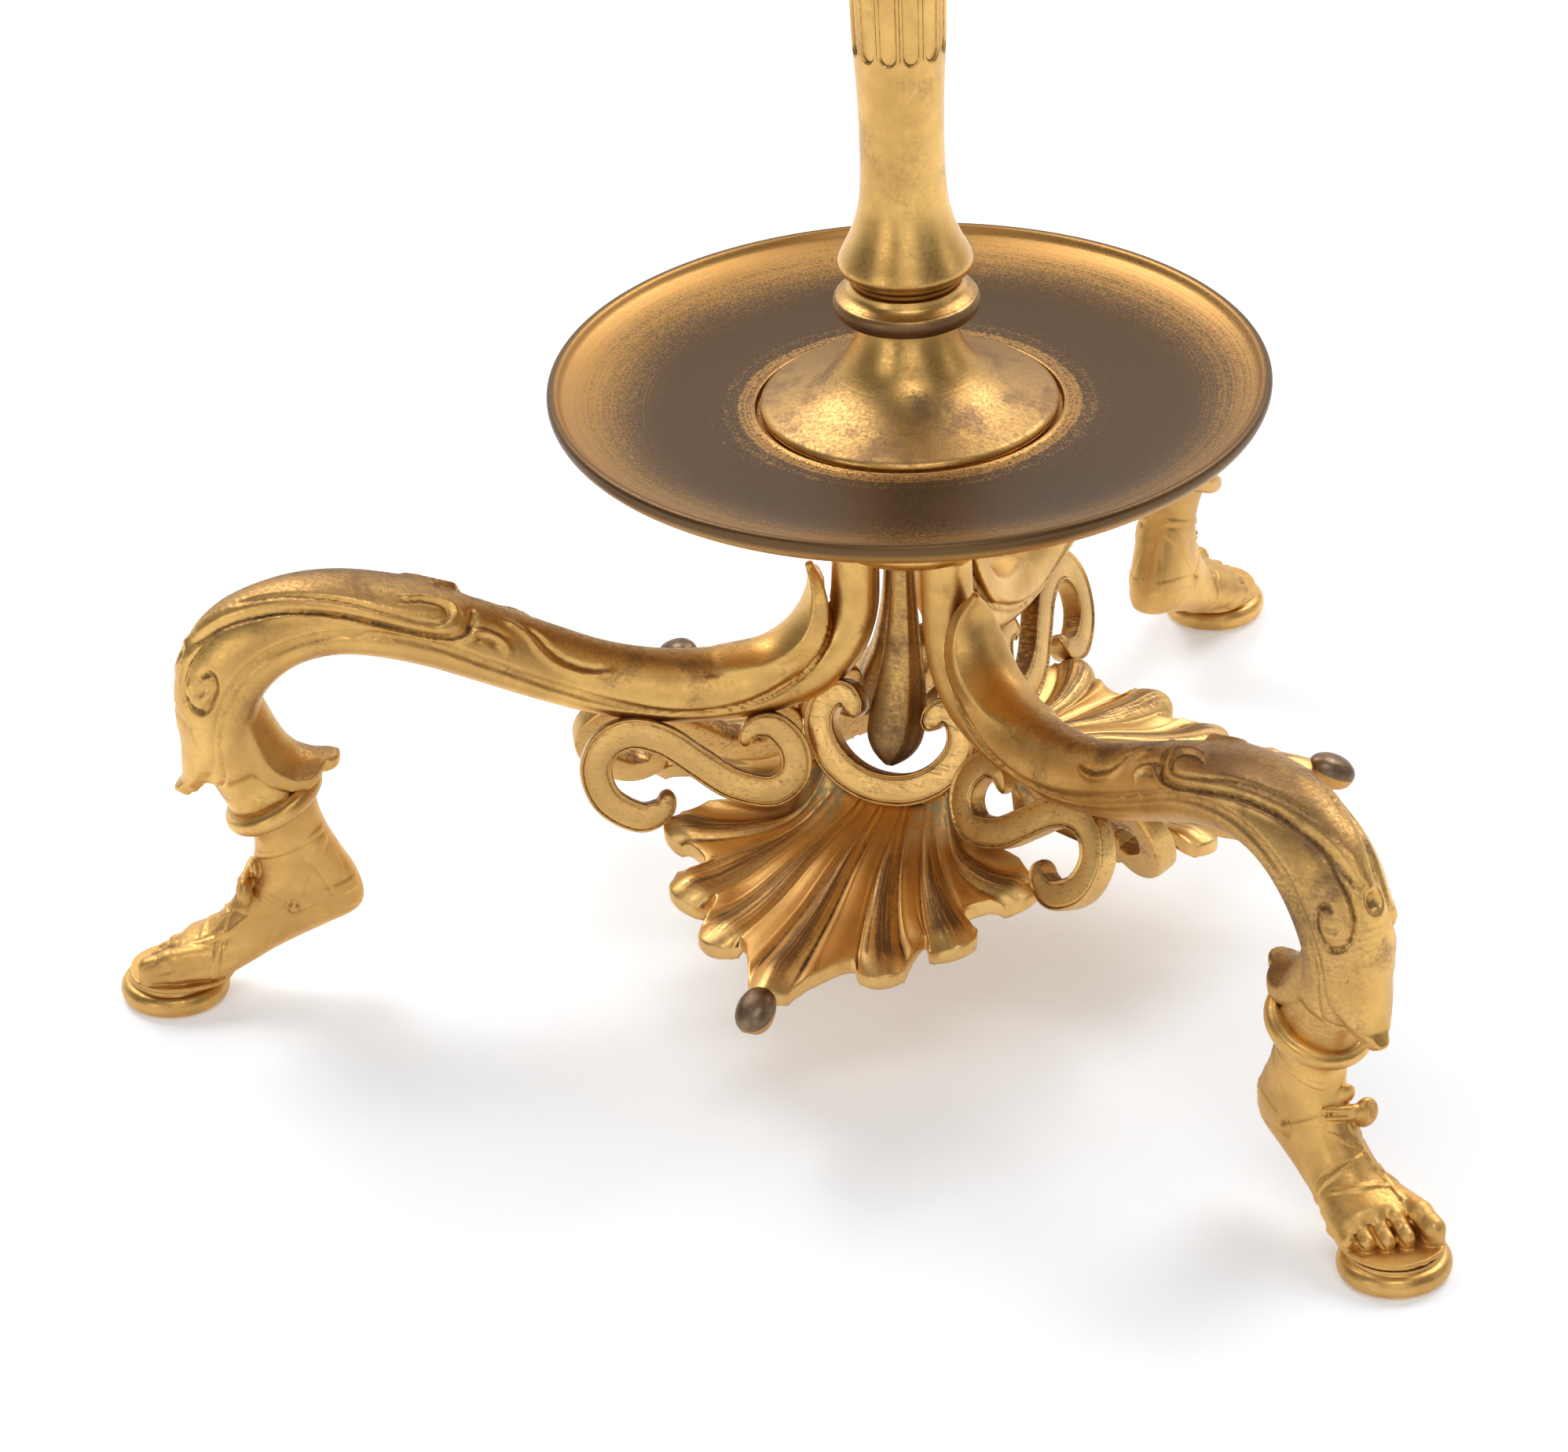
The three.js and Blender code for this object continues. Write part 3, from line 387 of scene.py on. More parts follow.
def bent_plate(path_rows, x, y, z, crown, roll):
    """Leaf along rows x, z, half width, half thickness; crown bends its sides, roll swells its rim."""
    rows = spline(path_rows, 8)
    gap, side, where = nearest_on(rows, x, z)
    width, thick = (np.interp(where, np.arange(len(rows)), rows[:, k]) for k in (2, 3))
    lead = rows[-1, :2] - rows[-2, :2]
    lead = lead / np.hypot(*lead)
    beyond = (x - rows[-1, 0]) * lead[0] + (z - rows[-1, 1]) * lead[1]
    aside = lead[0] * (z - rows[-1, 1]) - lead[1] * (x - rows[-1, 0])
    past = (where > len(rows) - 1.001) & (beyond > 0)
    bent = np.where(past, aside, gap * side) + crown * y * y
    over = np.hypot(y, np.where(past, beyond, 0)) - width
    flat = np.abs(bent) - thick - roll * np.exp(-((over + 0.6) / 0.7) ** 2)
    wide, deep = over + PLATE_EDGE, flat + PLATE_EDGE * 0.5
    rim = np.hypot(np.maximum(wide, 0), np.maximum(deep, 0))
    return rim + np.minimum(np.maximum(wide, deep), 0) - PLATE_EDGE * 0.5


HUB_TIP = [
    (36, 63.6, 5.2, 2.0), (29, 64.9, 6.2, 2.2), (24, 67.6, 6.7, 2.3), (20.8, 71.6, 6.5, 2.0),
    (19.0, 76.2, 5.2, 1.6), (18.7, 79.8, 3.4, 1.2), (19.4, 82.4, 1.3, 0.8),
]
CALF_LIP = [
    (124.5, 66, 6.8, 1.6), (121.6, 59, 7.4, 1.5), (119.0, 54.0, 7.8, 1.3), (116.4, 51.2, 7.6, 1.15),
    (114.0, 50.0, 7.0, 1.1), (112.6, 49.6, 6.2, 1.05), (111.6, 49.4, 5.0, 1.0), (110.9, 49.3, 3.4, 1.0),
]
KNEE_LIP = [
    (133.0, 61, 7.2, 2.4), (134.8, 55.6, 7.0, 2.1), (135.6, 51.6, 6.3, 1.7), (135.9, 48.6, 5.0, 1.45),
    (136.3, 46.5, 3.6, 1.35), (137.0, 45.4, 2.4, 1.3),
]
# rows, crown, roll, reach of the blend into the leg
LEG_PLATES = [(HUB_TIP, -0.06, 0.0, 1.6), (CALF_LIP, -0.085, 0.35, 0.7), (KNEE_LIP, 0.10, 0.15, 0.9)]


def plain_leg(x, y, z):
    """Distance to the leg without ornament, length along it and angle round its section."""
    path = spline(LEG_ROWS, 8)
    gap, side, where = nearest_on(path, x[:, :, 0], z[0])
    rows = np.arange(len(path))
    arc = np.interp(where, rows, lengths(path)) - np.hypot(*(path[0, :2] - LEG_START))
    lift = (gap * side)[:, None, :]
    half, back, belly = (np.interp(where, rows, path[:, k])[:, None, :] for k in (2, 3, 4))
    reach = np.where(lift > 0, back, belly)
    share = np.sqrt((y / half) ** 2 + (lift / reach) ** 2) + 1e-6
    slope = np.sqrt((y / half ** 2) ** 2 + (lift / reach ** 2) ** 2) / share + 1e-6
    angle = np.degrees(np.arctan2(lift / reach, y / half + 1e-6))
    return (share - 1) / slope, arc[:, None, :], angle


def table_at(table, row, column):
    """Values of a table between its rows and columns."""
    row = np.clip(row, 0, table.shape[0] - 2)
    column = np.clip(column, 0, table.shape[1] - 2)
    i, j = row.astype(int), column.astype(int)
    r, c = row - i, column - j
    return ((table[i, j] * (1 - r) + table[i + 1, j] * r) * (1 - c)
            + (table[i, j + 1] * (1 - r) + table[i + 1, j + 1] * r) * c)


def leg_skin():
    """One half of the leg as a field, mirrored and made a mesh."""
    x, y, z = box_grid(LEG_LOW, LEG_HIGH, LEG_VOXEL)
    skin, arc, angle = plain_leg(x, y, z)
    relief = table_at(leg_relief(), np.broadcast_to(arc, skin.shape) / RELIEF_STEP, angle + 90)
    skin = skin - relief * np.clip(1.6 - np.abs(skin) / 3, 0, 1)
    for rows, crown, roll, reach in LEG_PLATES:
        skin = smooth_min(skin, bent_plate(rows, x, y, z, crown, roll), reach)
    skin = smooth_max(skin, np.broadcast_to(z - LEG_TOP_Z, skin.shape), 0.3)
    neck_end = NECK_END_Z + NECK_GAP - z - NECK_END_SLOPE * (x - RING_AT_X)
    skin = np.maximum(skin, np.where(x > 105, neck_end, -9))
    both = np.concatenate([skin[:, :0:-1, :], skin], axis=1)
    low = (LEG_LOW[0], -(y.size - 1) * LEG_VOXEL, LEG_LOW[2])
    points, quads = mesh_of(np.clip(both, -3, 3), low, LEG_VOXEL)
    return relax(points, quads), quads


def legs(material):
    points, quads = leg_skin()
    x, y, z = points.T
    volute = np.exp(-((x - 123) / 8) ** 2 - ((z - 65) / 9) ** 2) * smoothstep(2, 6, np.abs(y))
    # painted shade: the -y flank of each leg, from x 70 outward, darkened as if reflecting the dim room; the
    # volute term is wear on the knee
    shaded_flank = smoothstep(0, 4, -y) * smoothstep(70, 100, x)
    layers = {"hollow": hollows(points, quads, 12, 3.2), "rub_and_shade": 0.5 * volute + 0.36 * shaded_flank,
              "kept": 0.25 + 0.75 * smoothstep(46, 24, x)}
    for side, azimuth in LEG_AZIMUTHS.items():
        piece("gilt_leg_" + side, turned_by(points, azimuth), quads, material, "leg_" + side, layers=layers)


# ---- turned pieces ----
CORNER_STEPS = 6


def rounded(rows):
    """Closed outline with its corners rounded: rows r, z, reach of the rounding."""
    rows = np.asarray(rows, float)
    made = []
    for before, corner, after in zip(np.roll(rows, 1, 0), rows, np.roll(rows, -1, 0)):
        ends = []
        for other in (before, after):
            way = other[:2] - corner[:2]
            length = max(np.hypot(*way), 1e-6)
            ends.append(corner[:2] + way * min(corner[2] / length, 0.5))
        for t in np.linspace(0, 1, CORNER_STEPS):
            made.append((1 - t) ** 2 * ends[0] + 2 * t * (1 - t) * corner[:2] + t * t * ends[1])
    keep = [made[0]]
    for point in made[1:]:
        if np.hypot(*(point - keep[-1])) > 0.01:
            keep.append(point)
    if np.hypot(*(keep[-1] - keep[0])) < 0.01:
        keep.pop()
    return np.array(keep)


def lathe(outline, segments=160, centre=(0, 0)):
    """Ring-shaped skin turned about a vertical axis from a closed outline of r, z."""
    turn = np.linspace(0, 2 * math.pi, segments, endpoint=False)[:, None]
    r, z = outline[:, 0], outline[:, 1]
    points = np.stack([r * np.cos(turn) + centre[0], r * np.sin(turn) + centre[1], z + 0 * turn], -1)
    return points.reshape(-1, 3), wrapped(segments, len(outline))


BORE = 2.8
DISH_OUTLINE = [
    (BORE, 111.05, 0.1), (30, 111.05, 5), (46, 111.6, 6), (57, 113.0, 4), (62.6, 114.4, 2.4),
    (65.2, 116.3, 1.2), (66.0, 118.0, 0.7), (66.0, 119.2, 0.6), (65.3, 119.8, 0.6), (64.3, 119.7, 0.5),
    (63.5, 118.6, 0.5), (62.9, 118.2, 0.8), (60, 116.9, 3), (54, 115.6, 4), (45, 114.7, 5),
    (31, 114.3, 1.5), (29.2, 114.35, 0.4), (28.7, 114.75, 0.35), (28.15, 114.6, 0.25), (27.95, 113.4, 0.2),
    (BORE, 113.4, 0.1),
]
BOSS_OUTLINE = [
    (BORE, 113.75, 0.1), (26.9, 113.75, 0.3), (27.3, 114.4, 0.4), (27.25, 115.3, 0.4), (26.6, 115.9, 0.5),
    (24, 116.7, 2.2), (19.5, 118.3, 2.6), (14.9, 120.8, 2.6), (11.6, 124.0, 2.2), (9.7, 127.8, 1.8),
    (8.7, 131.0, 1), (8.5, 132.6, 0.2), (BORE, 132.6, 0.1),
]
COLLAR_OUTLINE = [
    (BORE, 132.95, 0.1), (11.4, 132.95, 0.5), (12.9, 133.6, 0.8), (13.4, 134.8, 0.8), (13.3, 136.2, 0.5),
    (12.7, 136.9, 0.25), (12.25, 137.05, 0.2), (11.2, 137.6, 0.7), (10.55, 138.3, 0.5), (10.3, 139.4, 0.2),
    (BORE, 139.4, 0.1),
]
ASTRAGAL_OUTLINE = [
    (BORE, 456.3, 0.1), (9.6, 456.3, 0.4), (10.6, 456.9, 0.5), (11.5, 458.2, 0.9), (11.5, 460.0, 0.9),
    (10.4, 461.2, 0.4), (9.3, 461.6, 0.3), (8.9, 463.2, 0.8), (8.7, 465.3, 0.2), (BORE, 465.3, 0.1),
]
CAPITAL_OUTLINE = [
    (BORE, 465.65, 0.1), (8.5, 465.65, 0.4), (8.8, 471.6, 2), (9.7, 477.6, 2.4), (12.2, 483.0, 2.2),
    (15.3, 486.9, 1.4), (16.3, 488.4, 0.3), (16.1, 489.2, 0.3), (17.0, 489.7, 0.4), (17.0, 492.5, 0.5),
    (7.1, 492.5, 0.1), (7.1, 484.7, 0.1), (5.8, 484.7, 0.1), (5.8, 477.8, 0.1), (BORE, 477.4, 0.1),
]
PAN_OUTLINE = [
    (7.05, 492.95, 0.1), (18, 492.95, 3), (27, 494.5, 3), (33.5, 496.9, 1.4), (36.5, 499.4, 0.8),
    (37.0, 500.2, 0.4), (36.5, 500.9, 0.4), (35.3, 500.6, 0.5), (34.6, 499.6, 0.4), (32.5, 498.7, 1.6),
    (25, 496.7, 3), (17, 495.9, 2), (7.05, 495.9, 0.1),
]
NOZZLE_OUTLINE = [
    (0.4, 488.1, 0.1), (6.5, 488.1, 0.4), (6.65, 496.3, 0.1), (12.4, 496.3, 0.4), (13.0, 497.3, 0.5),
    (12.6, 498.5, 0.5), (9.6, 500.4, 1.2), (8.6, 501.7, 0.6), (8.9, 503.4, 0.6), (10.2, 505.4, 1),
    (13.3, 509.8, 2), (14.2, 515.6, 3), (13.6, 523.6, 4), (13.1, 529.4, 2.4), (13.6, 533.6, 1.4),
    (15.0, 535.6, 0.5), (15.5, 536.8, 0.5), (15.2, 538.0, 0.5), (14.4, 538.2, 0.3), (11.6, 538.0, 0.6),
    (11.0, 537.2, 0.5), (10.55, 510.5, 0.3), (0.4, 510.25, 0.1),
]
HUB_OUTLINE = [
    (5.85, 88.05, 0.1), (16.0, 88.05, 0.6), (17.4, 89.8, 0.9), (17.2, 92.6, 0.8), (15.6, 94.7, 0.6),
    (8.2, 95.0, 0.6), (7.1, 96.6, 0.8), (7.1, 101, 1.2), (10, 104.6, 1.6), (17, 107.9, 1.6),
    (21.7, 109.2, 0.6), (21.9, 110.6, 0.3), (BORE, 110.6, 0.1), (BORE, 93.1, 0.1), (5.85, 93.1, 0.1),
]
TOE_DISC_AT = 142
TOE_DISC_OUTLINE = [
    (0.3, 0.02, 0.1), (8.4, 0.02, 0.6), (9.8, 0.6, 0.9), (10.3, 1.9, 1.0), (10.2, 3.2, 1.0),
    (9.5, 4.15, 0.7), (8.6, 4.45, 0.25), (8.4, 4.8, 0.2), (8.4, 5.24, 0.2), (0.3, 5.24, 0.1),
]
# z, r
SHAFT_RADII = [
    (139.75, 9.9), (140.2, 10.15), (140.8, 10.1), (141.2, 10.5), (141.8, 11.5), (142.6, 12.1),
    (143.5, 12.28), (144.5, 12.0), (145.8, 11.4), (147.4, 10.6), (149.5, 9.7), (152.5, 8.75), (156, 8.05),
    (161, 7.72), (167, 7.66), (176, 7.85), (185.5, 8.35), (194.8, 8.61), (215, 9.1), (240, 9.4), (262, 9.5),
    (300, 9.35), (345, 8.9), (400, 8.25), (446, 7.7), (450, 7.72), (452.5, 8.1), (454.2, 9.3), (455.2, 9.6),
    (456.0, 9.5),
]
FLUTES = 12
FLUTE_PHASE = 11
FLUTE_HALF = 12.2            # degrees
FLUTE_FOOT = 184.6
FLUTE_HEAD = 446.0
FLUTE_DEEP = 0.62
FLUTE_END = 2.3              # length of the rounded ends


def shaft_heights():
    """Levels of the shaft's rings, closer where its outline or its flutes end."""
    foot, flute_feet = np.arange(139.75, 184, 0.45), np.arange(184, 189, 0.2)
    middle, flute_heads = np.arange(189, 443, 4.0), np.arange(443, 447, 0.25)
    return np.concatenate([foot, flute_feet, middle, flute_heads, np.arange(447, 456, 0.45), [456.0]])


def flute_depth(turn, z):
    """How far the flutes and the lines between them are cut in."""
    pitch = 360 / FLUTES
    off = np.abs((turn - FLUTE_PHASE + pitch / 2) % pitch - pitch / 2)[None, :]
    to_end = np.minimum(z - FLUTE_FOOT, FLUTE_HEAD - z)
    rounding = np.sqrt(np.clip(1 - np.clip(1 - to_end / FLUTE_END, 0, 1) ** 2, 0, 1))
    within = np.clip((FLUTE_HALF * rounding - off) / 1.6, 0, 1) * (to_end > 0)
    bed = smoothstep(0, 1, within) * (FLUTE_DEEP - 0.12 * (off / FLUTE_HALF) ** 2)
    line = np.exp(-((off - pitch / 2) / 0.8) ** 2) * (to_end > 1)
    return bed + 0.22 * line


def shaft_skin():
    turn = np.linspace(0, 360, FLUTES * 24, endpoint=False)
    profile = spline(SHAFT_RADII, 8)
    z = shaft_heights()[:, None]
    r = np.interp(z, profile[:, 0], profile[:, 1]) - flute_depth(turn, z)
    a = np.radians(turn)[None, :]
    outer = np.stack([r * np.cos(a), r * np.sin(a), z + 0 * a], -1)
    inner = np.stack([BORE * np.cos(a) + 0 * z, BORE * np.sin(a) + 0 * z, z + 0 * a], -1)[[-1, 0]]
    rings = np.concatenate([outer, inner])
    points = rings.reshape(-1, 3)
    return points, facing_out(points, wrapped(len(rings), turn.size))


def turned_piece(name, outline, material, node, body="stand", centre=(0, 0), segments=160,
                 worn=None, kept=0.0):
    """worn: the lowest and highest level of a band rubbed brown, and how much."""
    points, quads = lathe(rounded(outline), segments, centre)
    layers = {"kept": np.full(len(points), kept)}
    if worn:
        low, high, share = worn
        z = points[:, 2]
        layers = {"rub_and_shade": smoothstep(low - 0.3, low, z) * smoothstep(high + 0.3, high, z) * share}
    piece(name, points, facing_out(points, quads), material, node, body, layers)


# ---- scrolls: flat bands with a border line along each edge ----
BAND_HALF = 3.0
BAND_STEP = 0.45
# half of the section: share of the half width across, height above the middle of the band
BAND_TOP = [
    (0, 2.04), (0.25, 2.02), (0.42, 1.98), (0.55, 1.95), (0.63, 1.92), (0.68, 1.86), (0.72, 1.80),
    (0.75, 1.80), (0.775, 1.88), (0.81, 2.04), (0.86, 2.14), (0.90, 2.14), (0.95, 2.06), (0.985, 1.82),
    (1.0, 1.5), (1.0, 0.9),
]
BAND_UNDER = [(0.99, -0.6), (0.96, -1.5), (0.9, -1.95), (0.8, -2.1), (0.3, -2.1)]
BAND_FACE = np.array([(-a, h) for a, h in BAND_TOP[:0:-1]] + BAND_TOP + BAND_UNDER
                     + [(-a, h) for a, h in BAND_UNDER[::-1]])
C_HALF = [
    (0, 0, 1), (5.5, 0.9, 1), (10.2, 3.6, 1), (13.4, 7.6, 1), (14.2, 11.6, 0.96), (12.8, 15.2, 0.9),
    (9.8, 16.3, 0.86), (8.2, 14.2, 0.84), (9.0, 12.6, 0.8),
]
C_FOOT_B = 16.4
C_FOOT_Z = 42.4
C_LEAN = 21.5
S_ROWS = [
    (33.4, -6.2, 0.34), (32.8, -4.0, 0.5), (30.8, -2.4, 0.72), (27.4, -2.9, 0.87), (24.4, -6.9, 0.96),
    (24.6, -11.6, 1), (28.8, -14.7, 1), (36.0, -12.8, 1), (42.0, -8.4, 1), (48.0, -3.8, 1),
    (54.0, -1.8, 1), (59.0, -3.4, 1), (61.3, -8.2, 1), (59.4, -14.0, 0.97), (53.8, -17.6, 0.92),
    (49.4, -16.4, 0.72), (48.0, -13.0, 0.42),
]
S_TOP_D = 3.9
S_TOP_Z = 55
S_LEAN = 19.8


def band_skin(rows, place, nose):
    """Sweep of the bordered band along rows u, v, share; nose is the length of its rounded ends."""
    path = spline(rows, 12)
    run = lengths(path)
    end = nose * np.array([0.02, 0.08, 0.18, 0.32, 0.5, 0.72])
    middle = np.linspace(nose, run[-1] - nose, int(run[-1] / BAND_STEP))
    places = np.concatenate([end, middle, run[-1] - end[::-1]])
    u, v, share = (np.interp(places, run, path[:, k]) for k in range(3))
    to_end = np.minimum(places, run[-1] - places) / nose
    share = share * np.sqrt(np.clip(1 - np.clip(1 - to_end, 0, 1) ** 2, 0.0004, 1))
    heading = np.stack([np.gradient(u, places), np.gradient(v, places)], 1)
    heading /= np.linalg.norm(heading, axis=1)[:, None]
    across = BAND_FACE[None, :, 0] * (BAND_HALF * share)[:, None]
    out = BAND_FACE[None, :, 1] * np.clip(share * 1.6, 0.25, 1)[:, None]
    points = place(u[:, None] - heading[:, 1:] * across, v[:, None] + heading[:, :1] * across, out)
    return points.reshape(-1, 3), len(places)


def c_place(u, v, n):
    c, s = math.cos(rad(C_LEAN)), math.sin(rad(C_LEAN))
    return np.stack([C_FOOT_B - s * v + c * n, u, C_FOOT_Z + c * v + s * n], -1)


def s_place(u, v, n):
    c, s = math.cos(rad(S_LEAN)), math.sin(rad(S_LEAN))
    return np.stack([u, -(S_TOP_D - s * v + c * n), S_TOP_Z + c * v + s * n], -1)


def scrolls(material):
    mirrored = [(-u, v, w) for u, v, w in C_HALF[:0:-1]]
    c_points, c_rings = band_skin(mirrored + C_HALF, c_place, 2.2)
    s_points, s_rings = band_skin(S_ROWS, s_place, 1.4)
    s_points = turned_by(s_points, 60)
    kinds = []
    for start, end, points, rings in (("c_scroll_", "", c_points, c_rings),
                                      ("s_scroll_", "_a", s_points, s_rings),
                                      ("s_scroll_", "_b", s_points * (1, -1, 1), s_rings)):
        quads, faces = tube(points, rings)
        kinds.append((start, end, points, faces, {"hollow": hollows(points, quads, 5, 5.0)}))
    for side, halfway in APRON_AZIMUTHS.items():
        for start, end, points, faces, layers in kinds:
            node, placed = start + side + end, turned_by(points, halfway + APRON_TWIST)
            piece("gilt_" + node, placed, faces, material, node, layers=layers)


# ---- shell apron: b outward, a across ----
APRON_HEIGHT = [
    (14, 42.0), (16, 41.2), (18, 40), (21, 39.0), (28, 38.2), (37, 37), (48, 34.4), (60, 33.1),
    (70, 32.6), (80, 32),
]
APRON_DROOP = [(0, 0), (8, 0.8), (16, 2.1), (21, 1.4), (26, 0.5), (34, -0.9), (40, -1.2)]
APRON_THICK = 3.1
EDGE_WALL = np.array([(0.22, 0.16), (0.36, 0.5), (0.38, 1.2), (0.34, 2.0), (0.22, 2.6)])      # out, down
BACK_STEP = 6                # the back has one row of points for so many on the face
# foot a, b, middle a, b, end a, b, half width of the lobe; lobes and valleys in turn
FAN = np.array([
    (0, 17.0, 0, 46, 0, 74.4, 4.4), (2.3, 17.0, 5.4, 43, 9.0, 61.2, 0), (4.2, 16.9, 9.6, 41, 17.2, 60.6, 4.6),
    (6.4, 16.8, 13.4, 38, 20.4, 48.8, 0), (8.4, 16.7, 17.2, 35.6, 28.0, 50.8, 4.5),
    (10.4, 16.5, 19.4, 32.2, 25.8, 41.2, 0), (12.2, 16.2, 22.0, 29.4, 36.4, 35.6, 4.0),
    (15.6, 14.6, 20.8, 21.4, 31.0, 27.6, 0),
])
FAN_STEPS = 16               # columns to a lobe or a valley
FAN_ROWS = 64


def fan_line(index, t):
    """Line of the fan through its foot, middle and end, halfway along at the middle."""
    foot, middle, end = FAN[index, :6].reshape(3, 1, 2)
    t = t[:, None]
    return (1 - t) ** 2 * foot + 2 * t * (1 - t) * (2 * middle - (foot + end) / 2) + t * t * end


def lobe_edge(index, t, s):
    """Points on a lobe, s from -1 to 1 across it, its end drawn back round the tip."""
    row = FAN[index]
    way = np.array([row[4] - row[2], row[5] - row[3]])
    way = way / np.hypot(*way)
    half = row[6] * (0.16 + 0.84 * t ** 1.15)
    back = row[6] * (1 - np.sqrt(np.clip(1 - 0.96 * s * s, 0, 1))) * t ** 6
    side = np.array([way[1], -way[0]])
    return fan_line(index, t) + side * (half * s)[:, None] - way * back[:, None]


def lobe_columns(index, t):
    """The middle lobe begins on its crest."""
    start, count = (-1.0, FAN_STEPS) if index else (0.0, FAN_STEPS // 2)
    for s in np.linspace(start, 1, count, endpoint=False):
        ridge = math.cos(s * math.pi / 2)
        crease = -0.36 * math.exp(-((abs(s) - 0.97) / 0.1) ** 2)
        yield lobe_edge(index, t, s), 0.95 * ridge ** 0.9 + crease, ridge, 1.0, 0.0


def valley_columns(index, t):
    last, middle, after = lobe_edge(index - 1, t, 1), fan_line(index, t), lobe_edge(index + 1, t, -1)
    for q in np.linspace(-1, 1, FAN_STEPS, endpoint=False):
        spot = last * (q * (q - 1) / 2) + middle * (1 - q * q) + after * (q * (q + 1) / 2)
        groove = -0.30 * math.exp(-((abs(q) - 0.95) / 0.09) ** 2)
        line = 0.26 * math.exp(-((abs(q) - 0.74) / 0.08) ** 2)
        yield spot, 0.62 * (1 - q * q) - 0.18 + (groove + line), 0.0, 0.0, 0.0


def side_columns(t):
    edge, side = lobe_edge(len(FAN) - 2, t, 1), fan_line(len(FAN) - 1, t)
    for q in np.linspace(0, 1, 10):
        yield edge * (1 - q) + side * q, -0.3 + 0.2 * q, 0.0, 0.0, 3.0 * q * q


def apron_half(t):
    """Columns from the middle to the side: places a, b, relief, ridge, 1 on a lobe, rise of the side."""
    columns = []
    for index in range(len(FAN) - 1):
        columns += valley_columns(index, t) if index % 2 else lobe_columns(index, t)
    return columns + list(side_columns(t))


def apron_ring(spot, relief, ridge, lobe, flange, t):
    """Section of the shell along a column: its face, the wall of its edge and its back."""
    a, b = spot.T
    heights, droops = spline(APRON_HEIGHT, 8), spline(APRON_DROOP, 8)
    base = np.interp(b, heights[:, 0], heights[:, 1]) - np.interp(np.abs(a), droops[:, 0], droops[:, 1])
    grow = np.clip(t * 2.6 + 0.34, 0, 1) * (0.8 + 0.3 * t)
    curl = (0.25 + 1.15 * lobe) * np.clip((t - 0.86) / 0.14, 0, 1) ** 2
    puff = 0.35 * lobe * ridge * np.exp(-((t - 0.88) / 0.07) ** 2)
    rise = 5.0 * smoothstep(5, 13, np.abs(a)) * np.clip(1 - t / 0.30, 0, 1) ** 2
    z = base + relief * grow + puff - curl + rise + flange * smoothstep(0.1, 0.45, t) * (1 - 0.5 * t)
    lead = (spot[-1] - spot[-3]) / max(np.hypot(*(spot[-1] - spot[-3])), 1e-6)
    out, down = EDGE_WALL.T
    wall = np.stack([spot[-1, 0] + lead[0] * out, spot[-1, 1] + lead[1] * out, z[-1] - down], -1)
    face = np.stack([a, b, z], -1)
    back = np.stack([a, b, base - APRON_THICK + 0.6 * relief * grow - curl * 0.6], -1)[::-BACK_STEP]
    return np.concatenate([face, wall, back])[:, [1, 0, 2]]


def apron_skin():
    """Points, number of rings, and layers of wear over the shell's face."""
    t = np.linspace(0, 1, FAN_ROWS)
    half = apron_half(t)
    columns = [(spot * (-1, 1), *rest) for spot, *rest in half[:0:-1]] + half
    rings = [apron_ring(*column, t) for column in columns]
    rest = (0, len(rings[0]) - len(t))
    layers = {"rub_and_shade": [], "green": [], "lane": [], "run": []}
    for number, (spot, _, ridge, _, _) in enumerate(columns):
        worn = ridge * smoothstep(0.12, 0.4, t) * (1 - 0.65 * smoothstep(0.86, 0.97, t))
        by_scroll = smoothstep(0.30, 0.06, t) * smoothstep(5.5, 9, np.abs(spot[:, 0]))
        layers["rub_and_shade"].append(np.pad(worn, rest))
        layers["green"].append(np.pad(by_scroll, rest))
        layers["lane"].append(np.full(len(rings[0]), number * 0.1))
        layers["run"].append(np.pad(t, rest, constant_values=1))
    return np.concatenate(rings), len(rings), {key: np.concatenate(rows) for key, rows in layers.items()}


def aprons(material):
    points, rings, layers = apron_skin()
    quads, faces = tube(points, rings)
    layers["hollow"] = hollows(points, quads, 14, 1.6)
    layers["kept"] = np.ones(len(points))
    for side, halfway in APRON_AZIMUTHS.items():
        placed = turned_by(points, halfway + APRON_TWIST)
        piece("gilt_apron_" + side, placed, faces, material, "apron_" + side, layers=layers)


# ---- small castings ----
RING_AT_X = 120.8
RING_AT_Z = 41.3
RING_R = 8.0
RING_TUBE = 2.15
RING_TILT = 27


def ring_skin():
    """Ankle ring with a fine line round its shoulder, leaning forward on the neck."""
    turn = np.radians(np.linspace(0, 360, 40, endpoint=False))
    r = RING_TUBE - 0.22 * np.exp(-((np.degrees(turn) - 52) / 7) ** 2)
    points, quads = lathe(np.stack([RING_R + r * np.cos(turn), r * np.sin(turn)], 1), 96)
    return tilted(points, RING_TILT) + (RING_AT_X, 0, RING_AT_Z), facing_out(points, quads)


BEAD_B = 78
BEAD_Z = 29.6
BEAD_LONG = 4.7
BEAD_WIDE = 3.6
BEAD_HIGH = 3.0
BEAD_FLOOR = -2.5
BEAD_TILT = 25


